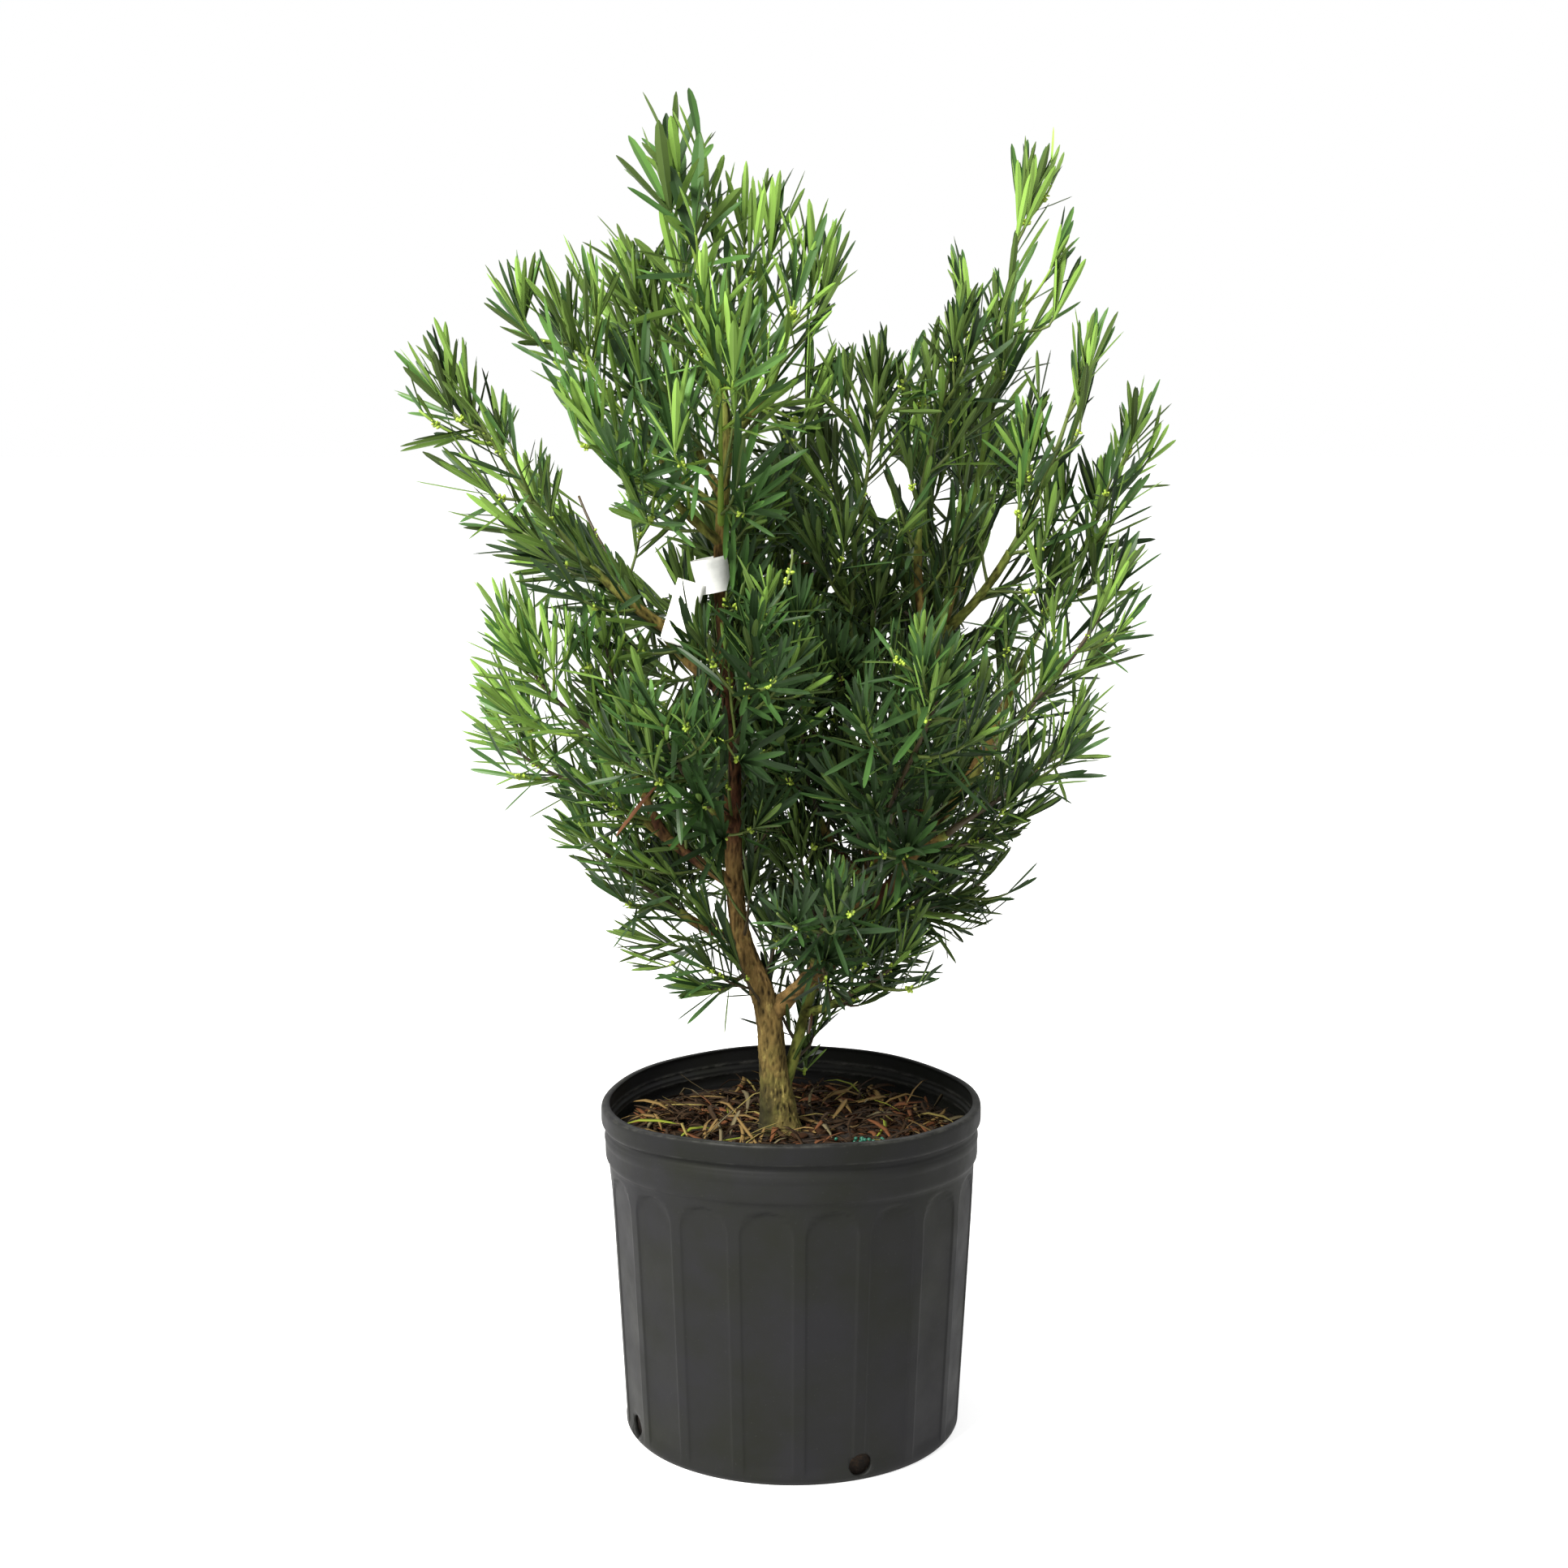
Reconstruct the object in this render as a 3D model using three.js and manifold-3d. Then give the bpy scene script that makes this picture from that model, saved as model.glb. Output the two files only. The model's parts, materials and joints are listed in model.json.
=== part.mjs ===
// A podocarpus in a round nursery pot: one trunk that forks low, boughs that leave it on all
// sides, and masses of strap-leaved foliage round and above them.
//
// Millimetres, +Z up, +Y away from the front. The origin is the centre of the pot's flat underside.

import * as THREE from 'three';
import { mergeVertices } from 'three/addons/utils/BufferGeometryUtils.js';
import Module from 'manifold-3d';

// ---------------------------------------------------------------- driving dimensions

// Pot
const POT_HEIGHT = 244;
const POT_RIM_RADIUS = 137.5;
const POT_WALL_TOP = { radius: 132.4, height: 200 };
const POT_WALL_FOOT = { radius: 122, height: 4 };
const POT_FOOT_CHAMFER = 2.5;
const POT_FLOOR = 3;
const POT_RIM_WALL = 3.4;
const POT_LOWER_WALL = 4;
const POT_SEGMENTS = 36;
// The rim from the wall up, as the inset from its largest radius and the height: a low band with
// a slight ridge, a groove and the rounded lip
const POT_RIM_BANDS = [
  { inset: 3.2, height: 206 },
  { inset: 2.6, height: 214 },
  { inset: 2.2, height: 219.5 },
  { inset: 2.8, height: 224 },
  { inset: 3.6, height: 227 },
  { inset: 0.8, height: 230.5 },
  { inset: 0, height: 237 },
  { inset: 1.6, height: POT_HEIGHT },
];
const PANEL_COUNT = 18;
const PANEL_ARC = THREE.MathUtils.degToRad(16.6);
const PANEL_FIRST = THREE.MathUtils.degToRad(-8);
const PANEL_FOOT = 12;
const PANEL_TOP = 198;
const PANEL_EDGE_DEPTH = 0.4;
const DRAIN_COUNT = 4;
const DRAIN_FIRST = THREE.MathUtils.degToRad(22.8);
const DRAIN_RADIUS = 8.5;
const DRAIN_HEIGHT = 12;

// Soil, level round the trunk and a little lower towards the pot's wall
const SOIL_TOP = 218;
const SOIL_EDGE = 215;
const SOIL_LEVEL_RADIUS = 44;
const SOIL_SHOULDER = { radius: 96, drop: 1.2 };
const WALL_STEP = 4; // below the soil's edge, where the pot's thicker lower wall begins
const GAP = 0.3; // air left between two neighbouring pieces

// Trunk: the points it runs through, with its radius at each. It is cut flat just above the soil.
const TRUNK = [
  { at: [-8, 0, 210], radius: 20 },
  { at: [-9, 0, 226], radius: 14.2 },
  { at: [-14, 0, 266], radius: 10 },
  { at: [-18, 0, 308], radius: 9.2 },
  { at: [-37, 4, 364], radius: 6.6 },
  { at: [-42, 5, 414], radius: 6.3 },
  { at: [-43, 3, 512], radius: 5.8 },
  { at: [-51, -3, 626], radius: 4.5 },
  { at: [-46, -3, 726], radius: 3.6 },
  { at: [-57, -1, 792], radius: 2.8 },
];
const TRUNK_SIDES = 10;
const TRUNK_STEP = 26;
const FLARE_LOBES = 3;
const FLARE_DEPTH = 0.14;
const FLARE_HEIGHT = 30;

// Boughs
const BOUGH_SIDES = 5;
const BOUGH_STEP = 36;
const BOUGH_TIP_RADIUS = 2.9;
const BOUGH_TAPER = 0.8; // below 1, a bough thins fastest near its foot
const CURVE_PULL = 0.36; // length of a curve's handles, as a share of its span
const LAY = 0.35; // how far a branch starts out towards the level
const LIMB_CLEARANCE = 1; // air between a limb and the leaves that pass it

// Stems and side shoots
const STEM_RADII = { foot: 2.7, tip: 1.3 };
const STEM_STEP = 48;
const STEM_RISE = 0.35; // how far a stem turns up at its end
const STEM_STOP = 0.86; // how far a stem ends short of its mass's tip, in leaf lengths
const SHOOT_RADII = { foot: 1.9, tip: 1.2 };
const SHOOT_SPACING = 30;
const SHOOT_ANGLE = { least: 46, most: 56 };
const SHOOT_REACH = { ends: 0.5, bulge: 0.9 }; // shares of the spread: at the ends, and added between
const SHOOT_VARIES = { least: 0.85, most: 1.15 };
const SHOOT_BEND = { up: 0.5, onward: 0.4 };
const SHOOT_SIZES = [1, 0.72, 0.5]; // the sizes that a shoot is tried at before it is skipped
const SHOOT_ROOM = 2; // half width that a shoot needs beside a limb
const BARE_FOOT = 13; // length of a stem or shoot that carries no leaf at its foot

// Leaves
const LEAF = { length: 74, width: 13.5, thickness: 1.6, bow: 3, widest: 0.48 };
const LEAF_SPACING = 16;
const LEAF_VARIES = { least: 0.9, most: 1.05 };
const LEAF_SIZES = [1, 0.8, 0.62, 0.5]; // the sizes that a leaf is tried at before it is skipped
const LEAF_ANGLE = { foot: 56, tip: 20, jitter: 8 };
const LEAF_ROOM = 0.35 * LEAF.width; // half width that a leaf needs beside a limb
const TUFT = { leaves: 3, at: 0.985, least: 7, most: 19 }; // leaves at a tip, and their lean
const GOLDEN_ANGLE = THREE.MathUtils.degToRad(137.5);

// The space of a mass
const REACH_AT_TIP = 0.7; // how wide it still is at its tip
const SPACE_MARGIN = 3; // how much nearer a leaf lies to its own stem than to any other stem
const LOWEST_LEAF = 251;
const SPINE_PARTS = 10;

// Plant tag: a plastic strip looped round the trunk, with a hanging tail
const TAG_RING = { radius: 12.5, height: 24, wall: 0.9, centre: [-54.3, -6.4, 620], tilt: 11 };
const TAG_TAIL = { width: 20, length: 62, thickness: 0.9, corner: 3 };
const TAG_TAIL_TOP = [-61, -16.5, 626];
const TAG_TAIL_FOOT = [-89, -21, 574];
const TAG_ROOM = 2; // air between the tag and the leaves that pass it

const SMALLEST_EDGE = 0.05; // edges that a join leaves shorter than this are merged

// Each branch is a mass of foliage, and nearly always the bough that carries it.
// parent: the limb it leaves, and height: where it leaves it, or null at the limb's tip
// bough: where the bough ends, and foot: its radius at its foot, or both null where the stem of
//   the mass leaves the limb itself
// tip: the furthest leaf; spread: how far the leaves reach from the stem
function branch(name, parent, height, bough, foot, tip, spread) {
  return { name, parent, height, bough, foot, tip, spread };
}

const BRANCHES = [
  // the crown's top
  branch('crown_top', 'trunk', null, null, null, [-86, -2, 957], 51),
  branch('top_middle', 'trunk', 746, null, null, [-18, 36, 902], 48),
  branch('top_right', 'trunk', 716, [-18, 0, 748], 3.4, [14, 4, 874], 50),
  branch('top_back', 'trunk', 676, [-68, 30, 710], 3.4, [-118, 84, 876], 67),
  branch('top_front', 'trunk', 654, null, null, [-48, -96, 826], 62),
  branch('top_left', 'trunk', 666, [-92, 8, 702], 3.6, [-177, -8, 842], 64),
  // the left side
  branch('left_upper', 'trunk', 560, [-140, -28, 630], 5.2, [-243, -32, 793], 59),
  branch('left_inner', 'trunk', 645, [-80, -20, 672], 3.4, [-160, -74, 760], 60),
  branch('left_low', 'trunk', 400, [-116, -8, 456], 4.6, [-226, 0, 532], 50),
  branch('left_middle', 'left_low', 436, [-112, -28, 486], 3.4, [-204, -36, 600], 60),
  branch('left_lowest', 'trunk', 356, [-82, 14, 378], 4, [-166, 16, 468], 50),
  branch('left_foot', 'trunk', 336, null, null, [-88, -26, 338], 48),
  // the right side
  branch('right_middle', 'trunk', 304, [140, -6, 496], 6.4, [233, -28, 637], 52),
  branch('right_outer', 'right_middle', 466, [168, 26, 562], 4, [249, 18, 752], 52),
  branch('right_low', 'right_middle', 428, [108, -38, 444], 3.6, [208, -50, 540], 53),
  branch('right_tall', 'right_middle', 356, [124, 24, 654], 5.6, [163, 18, 922], 54),
  branch('right_high', 'right_tall', 577, [152, -4, 638], 3.6, [207, -28, 804], 51),
  branch('right_inner', 'right_tall', 544, [88, -2, 654], 3.8, [121, -14, 842], 54),
  branch('middle', 'right_tall', 454, [42, -8, 564], 3.8, [60, -26, 790], 67),
  branch('centre', 'right_tall', 402, [18, 0, 450], 3.4, [4, -30, 616], 64),
  branch('right_lowest', 'trunk', 242, [33, 24, 350], 5, [164, 28, 422], 53),
  branch('right_foot', 'right_lowest', 302, [36, -12, 320], 3.2, [92, -52, 384], 46),
  // the front
  branch('front_left', 'trunk', 444, [-58, -40, 464], 3.6, [-94, -150, 564], 67),
  branch('front_middle', 'trunk', 488, null, null, [-24, -150, 614], 67),
  branch('front_right', 'right_middle', 414, [66, -48, 450], 3.8, [102, -158, 594], 69),
  branch('front_low', 'right_middle', 336, [16, -36, 356], 3.4, [24, -130, 436], 57),
  // the back
  branch('back_left', 'trunk', 534, [-94, 64, 574], 3.8, [-176, 148, 710], 78),
  branch('back_middle', 'trunk', 512, [-24, 58, 556], 3.8, [-6, 152, 708], 78),
  branch('back_right', 'right_tall', 494, [98, 76, 570], 4, [132, 162, 748], 78),
  branch('back_low', 'trunk', 380, null, null, [-60, 146, 494], 69),
  branch('back_low_right', 'right_lowest', 322, [66, 62, 376], 3.8, [140, 154, 514], 69),
];

// ---------------------------------------------------------------- materials

function material(color, roughness) {
  return new THREE.MeshStandardMaterial({ color, roughness, metalness: 0 });
}

const MATERIALS = {
  pot: material(0x2b2c2b, 0.55),
  soil: material(0x3d2a1e, 0.95),
  bark: material(0x7a5a3c, 0.9),
  foliage: material(0x3f6b2c, 0.6),
  tag: material(0xf4f4f2, 0.4),
};

// ---------------------------------------------------------------- solids

const { lerp, clamp, degToRad } = THREE.MathUtils;
const UP = new THREE.Vector3(0, 0, 1);

const wasm = await Module();
wasm.setup();

function pointOf(place) {
  return new THREE.Vector3(...place);
}

// The closed solid of a geometry, whichever way its faces point.
function solidOf(geometry) {
  const bare = new THREE.BufferGeometry();
  bare.setAttribute('position', geometry.getAttribute('position').clone());
  bare.setIndex(geometry.index);
  const merged = mergeVertices(bare, 1e-4);
  const place = merged.getAttribute('position').array;
  const corner = (i) => new THREE.Vector3().fromArray(place, 3 * i);
  const triangles = [];
  let volume = 0;
  for (let i = 0; i < merged.index.count; i += 3) {
    const [a, b, c] = merged.index.array.slice(i, i + 3);
    if (a === b || b === c || c === a) continue;
    volume += corner(a).dot(corner(b).cross(corner(c)));
    triangles.push([a, b, c]);
  }
  if (volume < 0) triangles.forEach((triangle) => triangle.reverse());
  return new wasm.Manifold(
    new wasm.Mesh({
      numProp: 3,
      vertProperties: new Float32Array(place),
      triVerts: new Uint32Array(triangles.flat()),
    }),
  );
}

// The geometry of a solid's largest body, which drops loose scraps and fills sealed hollows.
function geometryOf(solid) {
  const bodies = solid.decompose();
  const largest = bodies.reduce((best, body) => (body.volume() > best.volume() ? body : best));
  const mesh = largest.simplify(SMALLEST_EDGE).getMesh();
  const geometry = new THREE.BufferGeometry();
  geometry.setAttribute('position', new THREE.BufferAttribute(mesh.vertProperties, 3));
  geometry.setIndex(new THREE.BufferAttribute(mesh.triVerts, 1));
  geometry.computeVertexNormals();
  return geometry;
}

// All solids of a list joined, in pairs so that each join stays small.
function joined(solids) {
  if (solids.length === 1) return solids[0];
  const half = Math.ceil(solids.length / 2);
  return joined(solids.slice(0, half)).add(joined(solids.slice(half)));
}

// A turned shape: the profile's points are [radius, height] and start and end on the axis.
function turned(profile) {
  const points = profile.map(([radius, height]) => new THREE.Vector2(radius, height));
  return new THREE.LatheGeometry(points, POT_SEGMENTS, PANEL_FIRST).rotateX(Math.PI / 2);
}

// A tube along a curve with flat ends. radiusAt takes the share of the length and the angle.
function tube(curve, radiusAt, sides, steps) {
  const frames = curve.computeFrenetFrames(steps, false);
  const positions = [];
  const indices = [];
  for (let i = 0; i <= steps; i++) {
    const centre = curve.getPointAt(i / steps);
    for (let j = 0; j < sides; j++) {
      const angle = (2 * Math.PI * j) / sides;
      const radius = radiusAt(i / steps, angle);
      const point = centre
        .clone()
        .addScaledVector(frames.normals[i], radius * Math.cos(angle))
        .addScaledVector(frames.binormals[i], radius * Math.sin(angle));
      positions.push(point.x, point.y, point.z);
    }
  }
  for (let i = 0; i < steps; i++) {
    for (let j = 0; j < sides; j++) {
      const here = i * sides + j;
      const beside = i * sides + ((j + 1) % sides);
      indices.push(here, beside, beside + sides);
      indices.push(here, beside + sides, here + sides);
    }
  }
  const last = steps * sides;
  for (let j = 1; j < sides - 1; j++) {
    indices.push(0, j + 1, j);
    indices.push(last, last + j, last + j + 1);
  }
  const geometry = new THREE.BufferGeometry();
  geometry.setAttribute('position', new THREE.Float32BufferAttribute(positions, 3));
  geometry.setIndex(indices);
  return geometry;
}

// ---------------------------------------------------------------- pot, soil and tag

// Outer radius of the plain wall at a height.
function wallRadius(height) {
  const share = (height - POT_WALL_FOOT.height) / (POT_WALL_TOP.height - POT_WALL_FOOT.height);
  return lerp(POT_WALL_FOOT.radius, POT_WALL_TOP.radius, share);
}

// Inner radius of the pot below its rim.
function innerRadius(height) {
  return wallRadius(height) - POT_LOWER_WALL;
}

// The pot in section, from the centre of its underside round the rim to the centre of its floor.
function potProfile() {
  const step = SOIL_EDGE - WALL_STEP;
  return [
    [0, 0],
    [POT_WALL_FOOT.radius - POT_FOOT_CHAMFER, 0],
    [POT_WALL_FOOT.radius, POT_WALL_FOOT.height],
    [POT_WALL_TOP.radius, POT_WALL_TOP.height],
    ...POT_RIM_BANDS.map(({ inset, height }) => [POT_RIM_RADIUS - inset, height]),
    [POT_RIM_RADIUS - POT_RIM_WALL, POT_HEIGHT - 0.5],
    [innerRadius(SOIL_TOP) + 1.2, SOIL_TOP + WALL_STEP],
    [innerRadius(step), step],
    [innerRadius(POT_FLOOR), POT_FLOOR],
    [0, POT_FLOOR],
  ];
}

// Cuts one flat panel with an arched top into the wall, facing the front.
function panelCutter() {
  const half = (height) => wallRadius(height) * Math.sin(PANEL_ARC / 2);
  const flat = (height) => wallRadius(height) * Math.cos(PANEL_ARC / 2) - PANEL_EDGE_DEPTH;
  const rise = PANEL_TOP - PANEL_FOOT;
  const lean = Math.atan2(flat(PANEL_TOP) - flat(PANEL_FOOT), rise);
  const length = rise / Math.cos(lean);
  const arch = half(PANEL_TOP);
  const outline = new THREE.Shape();
  outline.moveTo(-half(PANEL_FOOT), 0);
  outline.lineTo(half(PANEL_FOOT), 0);
  outline.lineTo(arch, length - arch);
  outline.absarc(0, length - arch, arch, 0, Math.PI, false);
  const reach = 2 * POT_LOWER_WALL;
  const options = { depth: reach, bevelEnabled: false, curveSegments: 2 };
  const cutter = new THREE.ExtrudeGeometry(outline, options);
  const frame = new THREE.Matrix4().makeBasis(
    new THREE.Vector3(1, 0, 0),
    new THREE.Vector3(0, -Math.sin(lean), Math.cos(lean)),
    new THREE.Vector3(0, -Math.cos(lean), -Math.sin(lean)),
  );
  frame.setPosition(0, -flat(PANEL_FOOT), PANEL_FOOT);
  return cutter.applyMatrix4(frame);
}

// Cuts one round drainage hole through the foot of the wall, facing the front.
function drainCutter() {
  const reach = 8 * POT_LOWER_WALL;
  const cutter = new THREE.CylinderGeometry(DRAIN_RADIUS, DRAIN_RADIUS, reach, 16);
  return cutter.translate(0, -POT_WALL_FOOT.radius, DRAIN_HEIGHT);
}

function potSolid() {
  let pot = solidOf(turned(potProfile()));
  for (let i = 0; i < PANEL_COUNT; i++) {
    const angle = PANEL_FIRST + (2 * Math.PI * i) / PANEL_COUNT;
    pot = pot.subtract(solidOf(panelCutter().rotateZ(angle)));
  }
  for (let i = 0; i < DRAIN_COUNT; i++) {
    const angle = DRAIN_FIRST + (2 * Math.PI * i) / DRAIN_COUNT;
    pot = pot.subtract(solidOf(drainCutter().rotateZ(angle)));
  }
  return pot;
}

function soilSolid() {
  const floor = POT_FLOOR + GAP;
  const step = SOIL_EDGE - WALL_STEP;
  const profile = [
    [0, floor],
    [innerRadius(floor) - GAP, floor],
    [innerRadius(step) - GAP, step],
    [innerRadius(SOIL_EDGE) - GAP, SOIL_EDGE],
    [SOIL_SHOULDER.radius, SOIL_TOP - SOIL_SHOULDER.drop],
    [SOIL_LEVEL_RADIUS, SOIL_TOP],
    [0, SOIL_TOP],
  ];
  return solidOf(turned(profile));
}

// The tag's loop, leaning to one side round the trunk.
function tagRing() {
  const { radius, height, wall, centre, tilt } = TAG_RING;
  const section = [
    [radius - wall, -height / 2],
    [radius, -height / 2],
    [radius, height / 2],
    [radius - wall, height / 2],
    [radius - wall, -height / 2],
  ].map(([x, y]) => new THREE.Vector2(x, y));
  const ring = new THREE.LatheGeometry(section, 20).rotateX(Math.PI / 2);
  return ring.rotateY(degToRad(-tilt)).translate(...centre);
}

// The tag's hanging tail: a strip with two rounded corners.
function tagTail() {
  const { width, length, thickness, corner } = TAG_TAIL;
  const edge = width / 2;
  const outline = new THREE.Shape();
  outline.moveTo(-edge, 0);
  outline.lineTo(-edge, corner - length);
  outline.absarc(corner - edge, corner - length, corner, Math.PI, 1.5 * Math.PI, false);
  outline.absarc(edge - corner, corner - length, corner, 1.5 * Math.PI, 2 * Math.PI, false);
  outline.lineTo(edge, 0);
  const options = { depth: thickness, bevelEnabled: false, curveSegments: 3 };
  const tail = new THREE.ExtrudeGeometry(outline, options);
  const top = pointOf(TAG_TAIL_TOP);
  const up = top.clone().sub(pointOf(TAG_TAIL_FOOT)).normalize();
  const face = new THREE.Vector3(0, -1, 0).addScaledVector(up, up.y).normalize();
  const across = up.clone().cross(face);
  return tail.applyMatrix4(new THREE.Matrix4().makeBasis(across, up, face).setPosition(top));
}

// ---------------------------------------------------------------- trunk and boughs

// How many steps of about a given length a curve takes, at least two.
function stepsAlong(curve, step) {
  return Math.max(2, Math.round(curve.getLength() / step));
}

// A limb: its curve, its radius along it, and the chain of points used to keep clear of it.
function limb(curve, radiusAt, sides, step) {
  const steps = stepsAlong(curve, step);
  const chain = curve.getSpacedPoints(steps * 2);
  const radii = chain.map((point, i) => radiusAt(i / (steps * 2), 0));
  return { curve, radiusAt, sides, steps, chain, radii };
}

// A curve between two points that leaves and arrives in the given directions.
function sweep(from, leaving, to, arriving) {
  const pull = CURVE_PULL * from.distanceTo(to);
  const leave = from.clone().addScaledVector(leaving, pull);
  const arrive = to.clone().addScaledVector(arriving, -pull);
  return new THREE.CubicBezierCurve3(from, leave, arrive, to);
}

// The trunk's radius between two of its points is in proportion; its foot flares into lobes.
function trunkRadius(height, angle) {
  const above = TRUNK.findIndex(({ at }, i) => i > 0 && at[2] >= height);
  const next = above === -1 ? TRUNK.length - 1 : above;
  const [low, high] = [TRUNK[next - 1], TRUNK[next]];
  const part = clamp((height - low.at[2]) / (high.at[2] - low.at[2]), 0, 1);
  const flare = Math.max(0, 1 - (height - SOIL_TOP) / FLARE_HEIGHT);
  return lerp(low.radius, high.radius, part) * (1 + FLARE_DEPTH * flare * Math.cos(FLARE_LOBES * angle));
}

function trunkLimb() {
  const points = TRUNK.map(({ at }) => pointOf(at));
  const curve = new THREE.CatmullRomCurve3(points, false, 'centripetal');
  const radiusAt = (share, angle) => trunkRadius(curve.getPointAt(share).z, angle);
  return limb(curve, radiusAt, TRUNK_SIDES, TRUNK_STEP);
}

// The point of a rising curve at a height.
function pointAtHeight(curve, height) {
  let [low, high] = [0, 1];
  for (let i = 0; i < 30; i++) {
    const middle = (low + high) / 2;
    if (curve.getPointAt(middle).z < height) low = middle;
    else high = middle;
  }
  return curve.getPointAt(low);
}

// The direction in which a branch leaves: its chord, laid over a little towards the level.
function leavingDirection(from, to) {
  const chord = to.clone().sub(from).normalize();
  const level = new THREE.Vector3(chord.x, chord.y, 0);
  return chord.addScaledVector(level, LAY).normalize();
}

function boughLimb(row, parent) {
  const from = pointAtHeight(parent.curve, row.height);
  const to = pointOf(row.bough);
  const chord = to.clone().sub(from).normalize();
  const onward = pointOf(row.tip).sub(to).normalize();
  const curve = sweep(from, leavingDirection(from, to), to, chord.add(onward).normalize());
  const radiusAt = (share) => lerp(row.foot, BOUGH_TIP_RADIUS, share ** BOUGH_TAPER);
  return limb(curve, radiusAt, BOUGH_SIDES, BOUGH_STEP);
}

// The solid of a limb made thicker all round by a margin.
function limbSolid(shape, margin = 0) {
  const radiusAt = (share, angle) => shape.radiusAt(share, angle) + margin;
  return solidOf(tube(shape.curve, radiusAt, shape.sides, shape.steps));
}

// ---------------------------------------------------------------- room for the foliage

// How near two straight runs come to each other, from a to b and from c to d.
function segmentDistance(a, b, c, d) {
  const [u, v, w] = [b.clone().sub(a), d.clone().sub(c), a.clone().sub(c)];
  const [uu, uv, vv, uw, vw] = [u.dot(u), u.dot(v), v.dot(v), u.dot(w), v.dot(w)];
  const turn = uu * vv - uv * uv;
  const first = turn > 1e-9 ? clamp((uv * vw - vv * uw) / turn, 0, 1) : 0;
  const t = clamp((uv * first + vw) / vv, 0, 1);
  const s = clamp((uv * t - uw) / uu, 0, 1);
  return a.clone().addScaledVector(u, s).distanceTo(c.clone().addScaledVector(v, t));
}

// How far a point lies from a chain of points, and at what share of the chain.
function nearestOnChain(point, chain) {
  let distance = Infinity;
  let share = 0;
  const nearest = new THREE.Vector3();
  const line = new THREE.Line3();
  for (let i = 1; i < chain.length; i++) {
    const part = line.set(chain[i - 1], chain[i]).closestPointToPointParameter(point, true);
    const away = line.at(part, nearest).distanceTo(point);
    if (away >= distance) continue;
    distance = away;
    share = (i - 1 + part) / (chain.length - 1);
  }
  return { distance, share };
}

// A point belongs to a mass when it is within reach of its stem, which narrows towards the tip,
// and nearer to that stem than to any other.
function inSpace(point, mass, masses) {
  if (point.z < LOWEST_LEAF) return false;
  const { distance, share } = nearestOnChain(point, mass.spine);
  if (distance > mass.spread * lerp(1, REACH_AT_TIP, share * share)) return false;
  const limit = distance + SPACE_MARGIN;
  return masses.every((other) => other === mass || nearestOnChain(point, other.spine).distance > limit);
}

// A straight run clears the limbs when it stays outside each of them by its own half width.
function clearsLimbs(from, to, half, limbs) {
  return limbs.every(({ chain, radii }) => {
    for (let i = 1; i < chain.length; i++) {
      const room = Math.max(radii[i - 1], radii[i]) + half + LIMB_CLEARANCE;
      if (segmentDistance(from, to, chain[i - 1], chain[i]) < room) return false;
    }
    return true;
  });
}

// ---------------------------------------------------------------- foliage

// A seeded row of numbers from 0 to 1.
function seeded(seed) {
  let state = seed;
  return () => {
    state = (state + 0x6d2b79f5) | 0;
    let mixed = Math.imul(state ^ (state >>> 15), 1 | state);
    mixed = (mixed + Math.imul(mixed ^ (mixed >>> 7), 61 | mixed)) ^ mixed;
    return ((mixed ^ (mixed >>> 14)) >>> 0) / 4294967296;
  };
}

// A direction that leans from an axis by an angle, on the side given by a turn round the axis.
function leaning(axis, lean, turn) {
  const level = Math.abs(axis.z) > 0.9 ? new THREE.Vector3(1, 0, 0) : UP;
  const side = axis.clone().cross(level).normalize();
  const other = axis.clone().cross(side);
  const out = side.multiplyScalar(Math.cos(turn)).addScaledVector(other, Math.sin(turn));
  return axis.clone().multiplyScalar(Math.cos(lean)).addScaledVector(out, Math.sin(lean));
}

// The stem of a mass runs from its limb towards the furthest leaf and turns up on the way.
function stemCurve(row, from, leaving) {
  const tip = pointOf(row.tip);
  const chord = tip.clone().sub(from).normalize();
  const arriving = chord.addScaledVector(UP, STEM_RISE).normalize();
  const end = tip.clone().addScaledVector(arriving, -STEM_STOP * LEAF.length);
  return sweep(from, leaving, end, arriving);
}

// A leaf is a thin bowed blade of six faces: root, tip, two edges and the keel of its midrib.
function leafCorners(root, direction, axis, size) {
  const across = direction.clone().cross(axis).normalize();
  const face = across.clone().cross(direction).normalize();
  const length = LEAF.length * size;
  const tip = root.clone().addScaledVector(direction, length);
  const middle = root.clone().addScaledVector(direction, LEAF.widest * length);
  middle.addScaledVector(face, -LEAF.bow);
  const left = middle.clone().addScaledVector(across, -LEAF.width / 2);
  const right = middle.clone().addScaledVector(across, LEAF.width / 2);
  const keel = middle.clone().addScaledVector(face, -LEAF.thickness);
  return { root, tip, left, right, keel };
}

function leafSolid({ root, tip, left, right, keel }) {
  const geometry = new THREE.BufferGeometry();
  const corners = [root, left, right, keel, tip].flatMap((point) => point.toArray());
  geometry.setAttribute('position', new THREE.Float32BufferAttribute(corners, 3));
  geometry.setIndex([0, 1, 2, 0, 2, 3, 0, 3, 1, 4, 2, 1, 4, 3, 2, 4, 1, 3]);
  return solidOf(geometry);
}

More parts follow.
